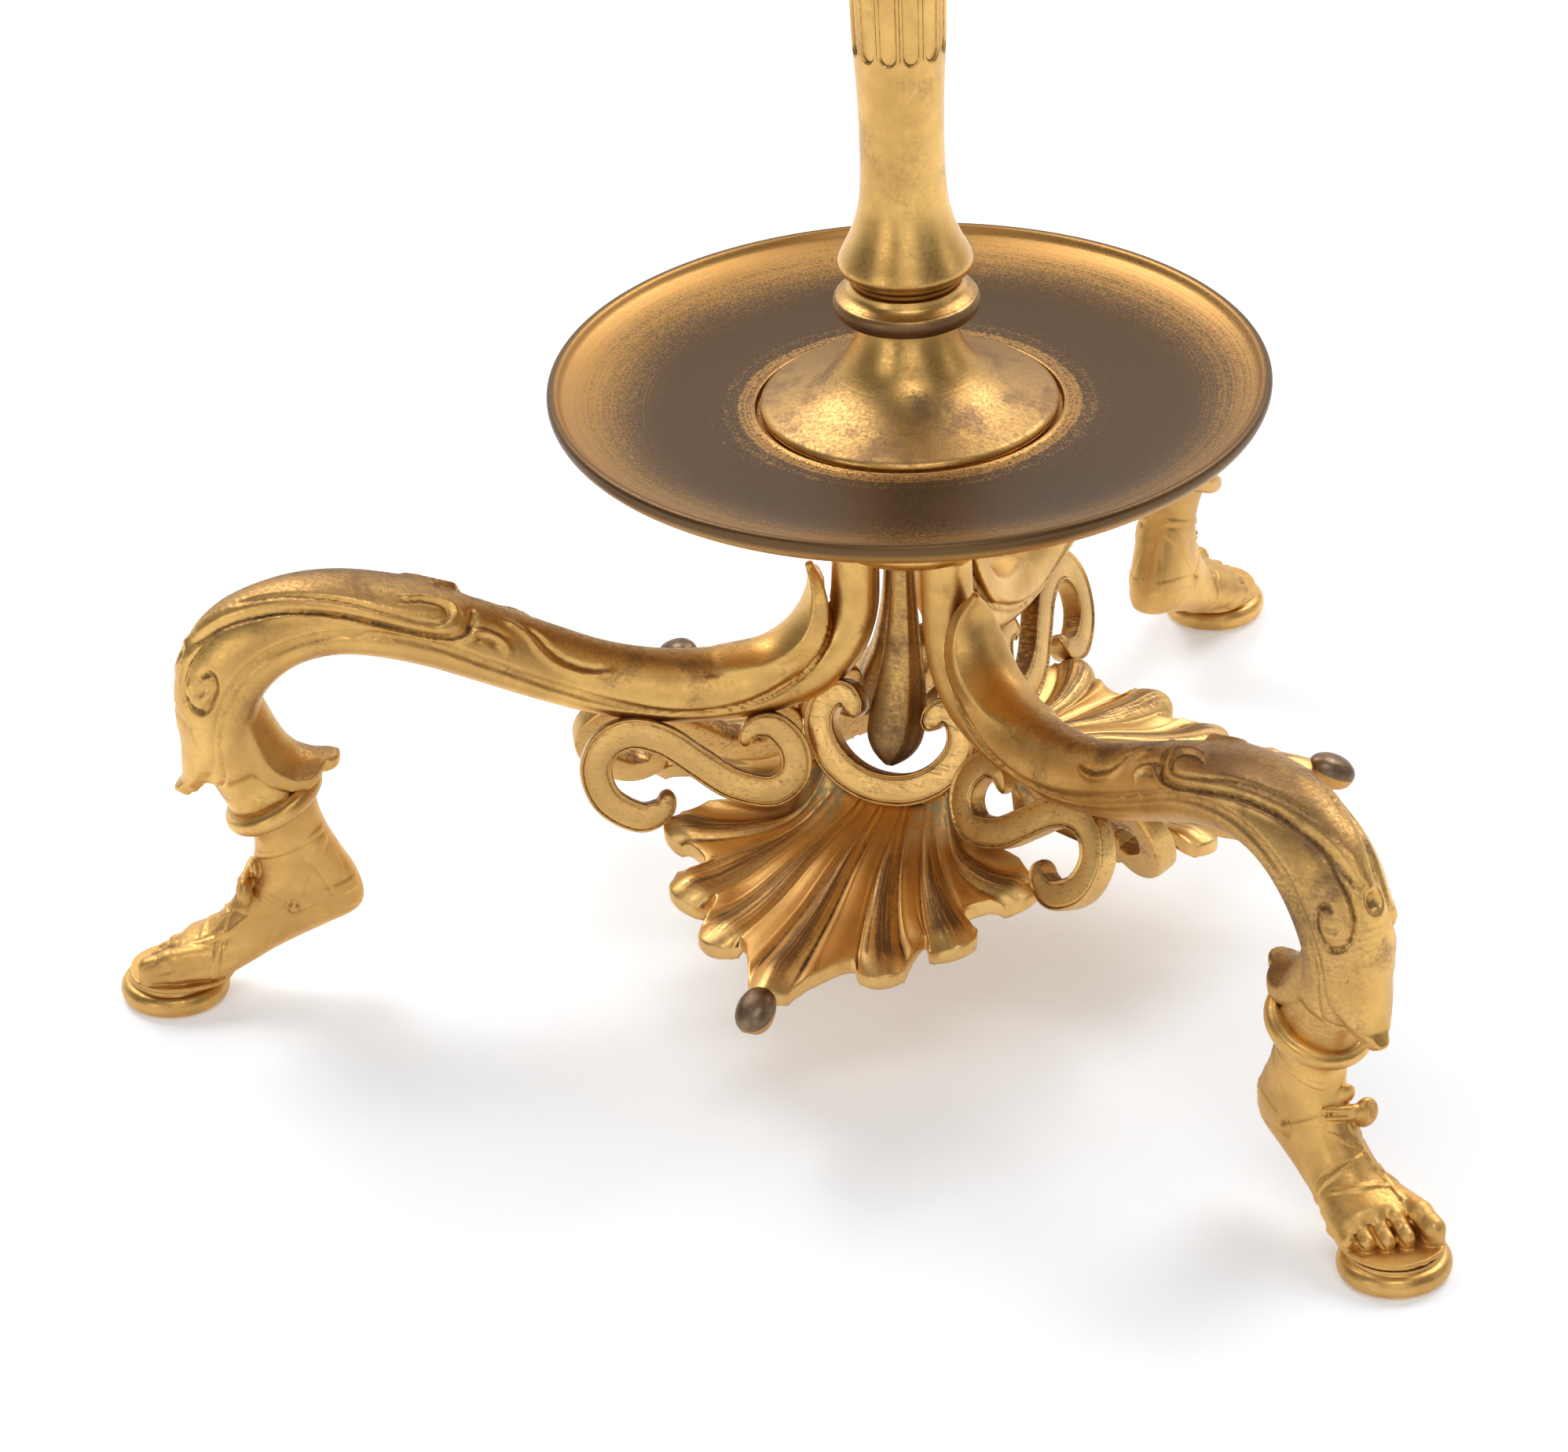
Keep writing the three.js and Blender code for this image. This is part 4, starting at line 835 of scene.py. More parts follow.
def bead_skin():
    """Pointed olive with a domed top, a short upright side and a flat underside."""
    along = np.linspace(0.02, math.pi - 0.02, 48)[:, None]
    turn = np.linspace(0, 2 * math.pi, 60, endpoint=False)[None, :]
    swell = np.sin(along) ** 0.9
    lift = np.sin(turn)
    y = swell * np.sign(np.cos(turn)) * np.abs(np.cos(turn)) ** 0.8 * BEAD_WIDE
    dome = BEAD_HIGH * np.abs(lift) ** 1.1
    side = BEAD_FLOOR * np.clip(np.abs(lift) * 1.5, 0, 1) ** 1.6
    z = swell * np.where(lift > 0, dome, side)
    x = -np.cos(along) * BEAD_LONG + 0 * y
    points = np.stack([x, y, z], -1).reshape(-1, 3)
    _, faces = tube(points, along.size)
    gold = smoothstep(0.25, -0.25, points[:, 2])
    return tilted(points, BEAD_TILT) + (BEAD_B, 0, BEAD_Z), faces, gold


# rows b, z, half width, half depth
DROP_ROWS = [
    (5.7, 87.6, 2.2, 1.8), (5.7, 80, 2.45, 1.9), (6.0, 71, 3.1, 2.4), (7.0, 63, 4.2, 3.1),
    (8.6, 57.4, 5.1, 3.8), (10.3, 53.4, 5.5, 4.0), (11.9, 50.6, 5.2, 3.7), (13.2, 48.6, 4.0, 2.9),
    (14.1, 47.3, 2.4, 1.8), (14.8, 46.4, 0.7, 0.5),
]


def bump_at(turn, centre, width):
    """Hump of height 1 at an angle of a section."""
    return np.exp(-(((turn - centre + math.pi) % (2 * math.pi) - math.pi) / width) ** 2)


def drop_skin():
    rows = spline(DROP_ROWS, 12)
    heading = np.gradient(rows[:, :2], axis=0)
    heading /= np.linalg.norm(heading, axis=1)[:, None]
    turn = np.linspace(0, 2 * math.pi, 60, endpoint=False)[None, :]
    facet = 1 + 0.14 * bump_at(turn, rad(62), 0.22)
    facet = facet - 0.07 * bump_at(turn, 0.55, 0.3)
    y = rows[:, 2:3] * np.cos(turn) * facet
    out = rows[:, 3:4] * np.sin(turn) * facet
    x = rows[:, 0:1] - heading[:, 1:2] * out
    z = rows[:, 1:2] + heading[:, 0:1] * out
    points = np.stack([x, y, z], -1).reshape(-1, 3)
    return points, tube(points, len(rows))[1]


def small_castings(materials):
    gilt = materials["gilt"]
    ring_points, ring_quads = ring_skin()
    ring_layers = {"kept": np.full(len(ring_points), 0.8)}
    for side, azimuth in LEG_AZIMUTHS.items():
        placed = turned_by(ring_points, azimuth)
        piece("gilt_ring_" + side, placed, ring_quads, gilt, "ankle_ring_" + side, layers=ring_layers)
        at = (TOE_DISC_AT * math.cos(rad(azimuth)), TOE_DISC_AT * math.sin(rad(azimuth)))
        turned_piece("gilt_disc_" + side, TOE_DISC_OUTLINE, gilt, "toe_disc_" + side, centre=at, segments=96,
                     kept=0.8)
    bead_points, bead_faces, bead_gold = bead_skin()
    drop_points, drop_faces = drop_skin()
    # darker all over the drop, most towards its lower end
    drop_darkening = 0.5 + 0.45 * smoothstep(62, 50, drop_points[:, 2])
    for side, halfway in APRON_AZIMUTHS.items():
        azimuth = halfway + APRON_TWIST
        piece("dark_bead_" + side, turned_by(bead_points, azimuth), bead_faces, materials["patinated_bead"],
              "bead_" + side, layers={"gold": bead_gold})
        piece("gilt_drop_" + side, turned_by(drop_points, azimuth), drop_faces, gilt, "drop_" + side,
              layers={"rub_and_shade": drop_darkening})


def column(materials):
    turned, tray = materials["gilt_turned"], materials["patinated_tray"]
    turned_piece("gilt_hub", HUB_OUTLINE, turned, "hub")
    turned_piece("dark_dish", DISH_OUTLINE, tray, "dish", segments=256)
    turned_piece("gilt_boss", BOSS_OUTLINE, turned, "dish_boss", segments=200, worn=(113, 134, 0.12))
    turned_piece("gilt_collar", COLLAR_OUTLINE, turned, "collar", worn=(132.5, 136.5, 1.3))
    points, quads = shaft_skin()
    piece("gilt_shaft", points, quads, turned, "shaft", layers={"hollow": hollows(points, quads, 3, 10.0)})
    turned_piece("gilt_astragal", ASTRAGAL_OUTLINE, turned, "astragal")
    turned_piece("gilt_capital", CAPITAL_OUTLINE, turned, "capital")
    turned_piece("dark_pan", PAN_OUTLINE, tray, "drip_pan")
    turned_piece("gilt_nozzle", NOZZLE_OUTLINE, turned, "candle_nozzle", body="nozzle")


# ---- foot: right feet, big toe on the +y side, sole on the disc ----
# back point x, z, front point x, z, half width
FOOT_ROWS = [
    (113.9, 48.5, 129.2, 40.5, 6.9), (113.2, 43.4, 127.4, 37.2, 6.6), (112.6, 38.6, 125.3, 34.0, 5.9),
    (111.3, 34.4, 125.1, 31.2, 5.5), (108.9, 29.4, 125.8, 27.6, 5.5), (106.6, 25.0, 127.0, 24.2, 5.7),
    (105.4, 20.6, 128.9, 21.0, 5.9), (106.2, 17.4, 131.2, 18.2, 6.0), (111.0, 15.2, 133.6, 15.9, 6.1),
    (116.5, 12.8, 136.0, 14.3, 6.4), (122.0, 10.2, 138.3, 13.4, 7.0), (127.0, 7.6, 140.5, 12.6, 7.6),
    (131.6, 5.7, 142.0, 11.7, 8.0), (137.0, 5.55, 143.4, 10.4, 8.1), (141.5, 5.5, 144.6, 8.8, 7.8),
]
FOOT_VOXEL = 0.27
FOOT_LOW = (102.5, -10.2, 5.0)
FOOT_HIGH = (152.5, 10.2, 46.0)
SOLE_Z = 5.25
# base x, y, z, knuckle x, y, z, tip x, y, z, radius at the knuckle and at the tip
TOES = [
    (136.5, 4.7, 10.7, 142.2, 5.2, 10.2, 146.3, 5.2, 9.1, 2.6, 2.3),
    (136.2, 1.3, 11.1, 141.0, 0.9, 10.6, 144.9, 0.5, 8.5, 1.62, 1.5),
    (135.2, -1.5, 10.8, 139.6, -2.1, 10.2, 143.4, -2.7, 8.2, 1.58, 1.48),
    (133.6, -4.1, 10.2, 137.8, -4.9, 9.6, 141.4, -5.6, 8.0, 1.55, 1.45),
    (131.4, -6.2, 9.4, 135.2, -7.0, 8.9, 138.6, -7.7, 7.8, 1.5, 1.4),
]
TOE_ROOT = 141.0             # where the foot ends and the toes go on, at the middle
# bow of the lace: big loop, knot and patch: centre x, y, z, half sizes; loose ends: start, end, radii
KNOTS = [
    (127.6, 4.9, 23.9, 1.6, 2.6, 2.9), (127.4, 2.4, 24.7, 1.5, 1.45, 1.6), (125.4, 2.2, 27.6, 1.0, 2.0, 1.9),
]
LOOP_PIT = ((129.4, 5.4, 22.6), (128.8, 5.6, 25.4), 0.5, 0.75)
LACE_ENDS = [
    ((127.6, 2.6, 25.3), (125.9, -2.9, 26.5), 0.85, 0.6),
    ((127.8, 2.4, 24.1), (126.5, -2.6, 25.0), 0.8, 0.55),
]
# sandal on the inner side: x, z paths
INNER_BANDS = [
    ([(111.8, 35.6), (118, 33), (125.5, 30.3)], 1.3), ([(112.5, 33.2), (116, 27.5), (118.6, 21.6)], 2.0),
    ([(125.5, 24), (121.5, 21.8), (118.6, 20.4)], 1.2), ([(118.5, 20.6), (113, 22.4), (107, 23.3)], 2.4),
    ([(131.5, 18.5), (133.3, 13), (134.4, 7.5)], 1.3),
]
INNER_LINES = [
    [(113, 34.2), (119, 31.8), (125, 29.2)], [(109.8, 30.5), (108.3, 25.5), (107.3, 20)],
    [(118.6, 19.6), (112, 18.6), (107, 18.4)], [(121.3, 19.3), (126, 18.7), (131, 18.9)],
    [(121.5, 18.8), (122.2, 16.5), (124.5, 12.2)], [(135.4, 15.3), (137.2, 12.6), (138.4, 9.8)],
    [(137.8, 15.6), (139.4, 13), (140.2, 10.6)], [(116.5, 31), (113.2, 27), (111.2, 22.6)],
]
OUTER_BANDS = [
    ([(111.8, 35.6), (118, 33), (125.5, 30.3)], 1.3), ([(112.0, 33.0), (115.5, 27), (118.0, 21.4)], 2.0),
    ([(125.5, 24.5), (121.5, 22), (118.0, 20.2)], 1.3), ([(118.0, 20.4), (112.5, 22.2), (107, 23.0)], 2.4),
    ([(129.6, 14.8), (128.6, 12.5), (127.6, 8.5)], 1.2),
]
OUTER_LINES = [
    [(113, 34.2), (119, 31.8), (125, 29.2)], [(109.8, 30.5), (108.3, 25.5), (107.3, 20)],
    [(118.0, 19.4), (112, 18.6), (107, 18.4)], [(119.5, 19), (123, 14.5), (126, 10.5)],
]
# on the instep: y across, t along the front line down from the ankle
STEP_BANDS = [
    ([(-8, 16.4), (-3.6, 19.2), (2.8, 21.2)], 0.95), ([(-8, 16.8), (-3.3, 15.5), (2.2, 14.8)], 0.6),
    ([(-2.7, 9.3), (1.3, 13.3)], 0.6),
]
STEP_TONGUE = [
    (0.8, 8.5), (1.7, 12.4), (2.4, 16.2), (3.0, 20.2), (3.2, 25.6), (4.1, 25.6), (4.8, 20.5), (5.1, 16),
    (5.0, 12), (4.6, 8.5),
]
STEP_START_Z = 31.2          # height on the front line where t is 0
STEP_CELL = 0.2              # cells of the instep's table
STEP_ACROSS = np.arange(-9, 9.01, STEP_CELL)
STEP_DOWN = np.arange(-6, 40.01, STEP_CELL)
STUD = (118.6, 20.4)
# sole: x, z of its middle, and x, half width of its plan; its front leans to the big toe
SOLE_LINE = [
    (105.4, 18.6), (108.5, 15.6), (113, 13.6), (118, 11.3), (124, 8.2), (129, 6.2), (134, 5.8), (152, 5.8),
]
SOLE_PLAN = [
    (104, -4), (126, -3), (129.6, 1.0), (131.8, 5.4), (134.5, 7.6), (138.5, 8.8), (142.5, 8.9), (146, 7.8),
    (148.6, 5.6), (149.9, 3.2), (150.4, 0),
]
SOLE_LEAN = ((130, 150), (0, 0.4))
SOLE_HALF = 0.65
FIELD_HALF = 12.0            # voxels either side of the plain foot's skin where its distance is known


def foot_rings():
    rows = spline(FOOT_ROWS, 5)
    turn = np.linspace(0, 2 * math.pi, 40, endpoint=False)[None, :]
    middle = (rows[:, 0:2] + rows[:, 2:4]) / 2
    half = (rows[:, 2:4] - rows[:, 0:2]) / 2
    x = middle[:, 0:1] - half[:, 0:1] * np.cos(turn)
    z = middle[:, 1:2] - half[:, 1:2] * np.cos(turn)
    y = rows[:, 4:5] * np.sign(np.sin(turn)) * np.abs(np.sin(turn)) ** 0.88
    return np.stack([x, y, z], -1)


def foot_loft():
    """Plain foot as a field, from its rings closed by a fan of triangles at either end."""
    rings = foot_rings()
    count = rings.shape[1]
    points = np.vstack([rings.reshape(-1, 3), rings[0].mean(0), rings[-1].mean(0)])
    quads = sleeve(len(rings), count)
    ring = np.arange(count)
    after = (ring + 1) % count
    last = (len(rings) - 1) * count
    caps = np.vstack([np.stack([0 * ring + last + count, after, ring], 1),
                      np.stack([last + ring, last + after, 0 * ring + last + count + 1], 1)])
    if looks_out(points, quads) < 0:
        quads, caps = quads[:, ::-1], caps[:, ::-1]
    grid = openvdb.FloatGrid.createLevelSetFromPolygons(
        ((points - FOOT_LOW) / FOOT_VOXEL).astype(np.float32), triangles=caps.astype(np.uint32),
        quads=quads.astype(np.uint32), transform=openvdb.createLinearTransform(1.0), halfWidth=FIELD_HALF)
    shape = [int((h - l) / FOOT_VOXEL) + 1 for l, h in zip(FOOT_LOW, FOOT_HIGH)]
    field = np.full(shape, FIELD_HALF, np.float32)
    grid.copyToArray(field, ijk=(0, 0, 0))
    return field * FOOT_VOXEL


def capsule(x, y, z, p, q, ra, rb):
    """Distance to a rod from p to q whose radius runs from ra to rb."""
    way = np.subtract(q, p)
    t = np.clip(((x - p[0]) * way[0] + (y - p[1]) * way[1] + (z - p[2]) * way[2]) / (way @ way), 0, 1)
    gap = np.sqrt((x - p[0] - way[0] * t) ** 2 + (y - p[1] - way[1] * t) ** 2 + (z - p[2] - way[2] * t) ** 2)
    return gap - (ra + (rb - ra) * t)


def ellipsoid(x, y, z, row):
    """Distance, near enough, to an ellipsoid given by its centre and half sizes."""
    off = [(v - c) / h for v, c, h in zip((x, y, z), row[:3], row[3:])]
    k = np.sqrt(off[0] ** 2 + off[1] ** 2 + off[2] ** 2) + 1e-6
    slope = np.sqrt(sum((o / h) ** 2 for o, h in zip(off, row[3:]))) / k + 1e-6
    return (k - 1) / slope


def sunk_and_raised(bands, lines, u, v, height=0.22):
    """Relief of flat straps and cut lines on a plane."""
    total = np.zeros(np.broadcast(u, v).shape)
    for path, width in bands:
        gap, _, _ = nearest_on(spline(path, 5), u, v)
        strap = height * smoothstep(width / 2 + 0.22, width / 2 - 0.18, gap)
        groove = -0.08 * np.exp(-((gap - width / 2 - 0.3) / 0.26) ** 2)
        total = np.where(strap > total, strap, total) + groove
    for path in lines:
        gap, _, _ = nearest_on(spline(path, 5), u, v)
        total = total - 0.15 * np.exp(-(gap / 0.32) ** 2)
    return total


def side_relief(flat_x, flat_z, y):
    """Straps, lines and stud of the sandal on the foot's two sides."""
    stud = np.hypot(flat_x - STUD[0], flat_z - STUD[1])
    knob = 0.55 * smoothstep(1.2, 0.5, stud) - 0.25 * np.exp(-((stud - 1.5) / 0.25) ** 2)
    inner = sunk_and_raised(INNER_BANDS, INNER_LINES, flat_x, flat_z) + knob
    outer = sunk_and_raised(OUTER_BANDS, OUTER_LINES, flat_x, flat_z) + knob
    return np.where(y > 0, inner[:, None, :], outer[:, None, :]) * smoothstep(1.0, 3.2, np.abs(y))


def step_relief(flat_x, flat_z, y):
    """Straps and tongue on the instep, drawn in a table of y and length down the front line."""
    front = spline(np.array(FOOT_ROWS)[1:, 2:4], 6)
    run = lengths(front)
    gap, _, where = nearest_on(front, flat_x, flat_z)
    down = np.interp(where, np.arange(len(run)), run) - np.interp(STEP_START_Z, front[::-1, 1], run[::-1])
    across, along = STEP_ACROSS[:, None], STEP_DOWN[None, :]
    table = sunk_and_raised(STEP_BANDS, [], across, along, height=0.3)
    within = inside(STEP_TONGUE, across, along)
    table = table + 0.22 * smoothstep(-0.12, 0.3, within) + 0.28 * np.exp(-((within - 0.3) / 0.3) ** 2)
    i = np.clip(np.round((y[0, :, 0] - STEP_ACROSS[0]) / STEP_CELL).astype(int), 0, len(STEP_ACROSS) - 1)
    j = np.clip(np.round((down - STEP_DOWN[0]) / STEP_CELL).astype(int), 0, len(STEP_DOWN) - 1)
    return table[i[None, :, None], j[:, None, :]] * smoothstep(4.6, 2.2, gap)[:, None, :]


def toe_shape(x, y, z, row):
    """One toe: root, tip and the pad under it, with its nail and the crease of its knuckle."""
    base, (kx, ky, kz), (tx, ty, tz), (ra, rb) = row[:3], row[3:6], row[6:9], row[9:]
    root = capsule(x, y, z, base, (kx, ky, kz), ra * 0.95, ra)
    tip = capsule(x, y, z, (kx, ky, kz), (tx, ty, tz), ra * 0.92, rb)
    pad = capsule(x, y, z, (kx - 1.5, ky, 7.4), (tx - 0.1, ty, 7.3), rb * 0.95, rb * 0.95)
    toe = smooth_min(smooth_min(root, tip, 0.5), pad, 0.6)
    nail = np.maximum(np.abs(y - ty) / (rb * 0.62), np.abs(x - tx - 0.55 * rb) / (rb * 0.95))
    plate = smoothstep(1.08, 0.86, nail) * (z > tz)
    ditch = np.exp(-((nail - 1.14) / 0.14) ** 2) * (z > tz)
    crease = np.exp(-((x - kx + 0.3) / 0.5) ** 2) * (z > kz)
    return toe + 0.12 * ditch - 0.06 * plate + 0.07 * crease


def with_toes(field, x, y, z):
    """Rounds off the foot, sets its toes on and cuts between them."""
    field = smooth_max(field, (x - TOE_ROOT - 0.3 * y) * 0.9 + 0 * z, 1.8)
    for row in TOES:
        field = smooth_min(field, toe_shape(x, y, z, row), 0.8)
    for row, after in zip(TOES[:-1], TOES[1:]):
        _, _, _, kx, ky, kz, tx, ty, *_ = np.add(row, after) / 2
        cut = capsule(x, y, z, (kx - 2.2, ky, kz + 1.9), (tx + 1.6, ty, 7.6), 0.15, 0.36)
        field = smooth_max(field, -cut, 0.35)
    return field


def with_lace(field, x, y, z):
    """Bow of the sandal's lace, with its loose ends and the hole of its loop."""
    for row in KNOTS:
        field = smooth_min(field, ellipsoid(x, y, z, row), 0.35)
    for start, end, wide, narrow in LACE_ENDS:
        field = smooth_min(field, capsule(x, y, z, start, end, wide, narrow), 0.3)
    return smooth_max(field, -capsule(x, y, z, *LOOP_PIT), 0.4)


def with_sole(field, x, y, z):
    """Thin sole that follows the underside, cut flat where it stands on the disc."""
    under, which, _ = nearest_on(spline(SOLE_LINE, 5), x[:, 0, :], z[0])
    above = (under * which)[:, None, :]
    plan = spline(SOLE_PLAN, 5)
    reach = np.interp(x, plan[:, 0], plan[:, 1])
    edge = (np.abs(y - np.interp(x, *SOLE_LEAN)) - reach) * 0.8
    field = smooth_min(field, smooth_max(np.abs(above) - SOLE_HALF, edge, 0.3), 0.3)
    field = smooth_max(field, np.broadcast_to(-(above + 0.3), field.shape), 0.15)
    return smooth_max(field, np.broadcast_to(SOLE_Z - z, field.shape), 0.1)


def foot_skin():
    field = foot_loft()
    x, y, z = (FOOT_LOW[k] + FOOT_VOXEL * np.arange(field.shape[k]) for k in range(3))
    x, y, z = x[:, None, None], y[None, :, None], z[None, None, :]
    field = field - side_relief(x[:, 0, :], z[0], y) - step_relief(x[:, 0, :], z[0], y)
    arch = np.exp(-((x - 121) / 7.5) ** 2) * np.exp(-((z - 11.5) / 4.5) ** 2) * smoothstep(2, 6, y)
    ball = np.exp(-((x - 134) / 4) ** 2) * np.exp(-((z - 9.5) / 3.5) ** 2) * smoothstep(4, 7, np.abs(y))
    field = field + 0.8 * arch - 0.35 * ball
    for adding in (with_toes, with_lace, with_sole):
        field = adding(field, x, y, z)
    field = np.maximum(field, z - NECK_END_Z + NECK_GAP + NECK_END_SLOPE * (x - RING_AT_X))
    points, quads = mesh_of(np.clip(field, -2.5, 2.5), FOOT_LOW, FOOT_VOXEL)
    return relax(points, quads), quads


def feet(material):
    points, quads = foot_skin()
    layers = {"hollow": hollows(points, quads, 10, 1.6), "kept": np.full(len(points), 0.8)}
    for side, azimuth in LEG_AZIMUTHS.items():
        piece("gilt_foot_" + side, turned_by(points, azimuth), quads, material, "foot_" + side, layers=layers)


# ---- materials ----
def add_node(tree, kind, inputs=None, **settings):
    """Shader node with its settings made and its sockets linked or filled."""
    made = tree.nodes.new("ShaderNode" + kind)
    for key, value in settings.items():
        setattr(made, key, value)
    for key, value in (inputs or {}).items():
        if isinstance(value, bpy.types.NodeSocket):
            tree.links.new(value, made.inputs[key])
        else:
            made.inputs[key].default_value = value
    return made


class Graph:
    """One node material under construction."""

    def __init__(self, name):
        self.material = bpy.data.materials.new(name)
        self.material.use_nodes = True
        self.tree = self.material.node_tree
        self.tree.nodes.clear()
        self.place = self.node("TexCoord").outputs["Object"]

    def node(self, kind, inputs=None, **settings):
        return add_node(self.tree, kind, inputs, **settings)

    def math(self, operation, a, b, clamp=False):
        return self.node("Math", {0: a, 1: b}, operation=operation, use_clamp=clamp).outputs[0]

    def plus(self, a, b):
        return self.math("ADD", a, b)

    def times(self, a, b):
        return self.math("MULTIPLY", a, b)

    def jitter(self, value, noise, amount):
        """Value moved up and down by a noise."""
        return self.plus(value, self.times(self.math("SUBTRACT", noise, 0.5), amount))

    def noise(self, scale, detail=3.0, rough=0.5, place=None, stretch=None, turn=(0, 0, 0)):
        vector = place or self.place
        if stretch:
            vector = self.node("Mapping", {"Vector": vector, "Scale": stretch, "Rotation": turn}).outputs[0]
        made = self.node("TexNoise", {"Vector": vector, "Scale": scale, "Detail": detail, "Roughness": rough})
        return made.outputs[0]

    def between(self, value, low, high, low_out=0.0, high_out=1.0):
        """Smooth step of a value."""
        made = self.node("MapRange", {0: value, 1: low, 2: high, 3: low_out, 4: high_out},
                         interpolation_type="SMOOTHSTEP")
        return made.outputs[0]

    def blend(self, share, first, second):
        return self.node("Mix", {0: share, 6: first, 7: second}, data_type="RGBA").outputs[2]

    def layer(self, name):
        return self.node("Attribute", attribute_name=name).outputs["Fac"]

    def facing_up(self):
        normal = self.node("NewGeometry").outputs["Normal"]
        return self.node("SeparateXYZ", {0: normal}).outputs[2]

    def radius(self):
        """Distance from the column axis in metres, and height."""
        split = self.node("SeparateXYZ", {0: self.place})
        flat = self.node("CombineXYZ", {0: split.outputs[0], 1: split.outputs[1]}).outputs[0]
        far = self.node("VectorMath", {0: flat}, operation="LENGTH").outputs["Value"]
        return far, split.outputs[2]

    def rings(self, scale, detail, rough):
        """Noise that runs in rings round the column axis."""
        far, high = self.radius()
        return self.noise(scale, detail, rough, place=self.node("CombineXYZ", {0: far, 1: high}).outputs[0])

    def bump(self, height, strength, distance, under=None):
        inputs = {"Height": height, "Strength": strength, "Distance": distance}
        if under:
            inputs["Normal"] = under
        return self.node("Bump", inputs).outputs[0]

    def metal(self, colour, roughness, normal, metallic=1.0):
        inputs = {"Base Color": colour, "Roughness": roughness, "Metallic": metallic, "Normal": normal}
        shader = self.node("BsdfPrincipled", inputs)
        self.node("OutputMaterial", {0: shader.outputs[0]})
        return self.material


GOLD = (0.84, 0.50, 0.145, 1)
GOLD_DEEP = (0.56, 0.305, 0.080, 1)
GOLD_PALE = (0.86, 0.61, 0.29, 1)
# brown of rubbed gold, also the colour of the painted shade on the legs' flanks
RUB_AND_SHADE_BROWN = (0.215, 0.125, 0.062, 1)
# dark brown of the painted shade in hollows
HOLLOW_SHADE = (0.060, 0.033, 0.017, 1)
VERDIGRIS = (0.25, 0.26, 0.17, 1)


def engraving(g):
    """Noise drawn out along the lobes of an apron."""
    lanes = g.node("CombineXYZ", {0: g.layer("lane"), 1: g.times(g.layer("run"), 0.25)}).outputs[0]
    return g.noise(7, 3, 0.6, place=lanes)


def wear(g, up_wear, smudged, engraved):
    """Share of gold lost: on faces that look up, on rubbed parts and in smudges; the legs' rub layer also
    carries painted shade on their flanks.
    """
    upper = g.times(g.between(g.facing_up(), 0.35, 1.0), up_wear)
    upper = g.times(upper, g.math("SUBTRACT", 1.0, g.layer("kept")))
    rub_and_shade = g.layer("rub_and_shade")
    if engraved:
        rub_and_shade = g.times(rub_and_shade, g.between(engraved, 0.36, 0.60, 0.25, 1.25))
    smudge = g.between(g.noise(95, 5, 0.6), 0.50, 0.70, 0.0, smudged)
    return g.plus(g.plus(upper, rub_and_shade), smudge)


def lathe_grain(g, grain):
    return g.bump(g.rings(5200, 2, 0.6), 0.45, 0.00006, g.bump(grain, 0.25, 0.00013))


def chased_grain(g, grain, strokes, brushed, engraved):
    """Normal of a cast face: shallow waves, grain and the strokes of files both ways."""
    normal = g.bump(g.noise(190, 3, 0.55), 0.12, 0.0005)
    normal = g.bump(grain, 0.25, 0.00013, normal)
    normal = g.bump(strokes, 0.22 * brushed, 0.00007, normal)
    other_way = g.noise(2300, 2, 0.5, stretch=(1, 0.10, 1), turn=(0.9, -0.5, 0.3))
    normal = g.bump(other_way, 0.12, 0.00006, normal)
    return g.bump(engraved, 0.25, 0.00012, normal) if engraved else normal


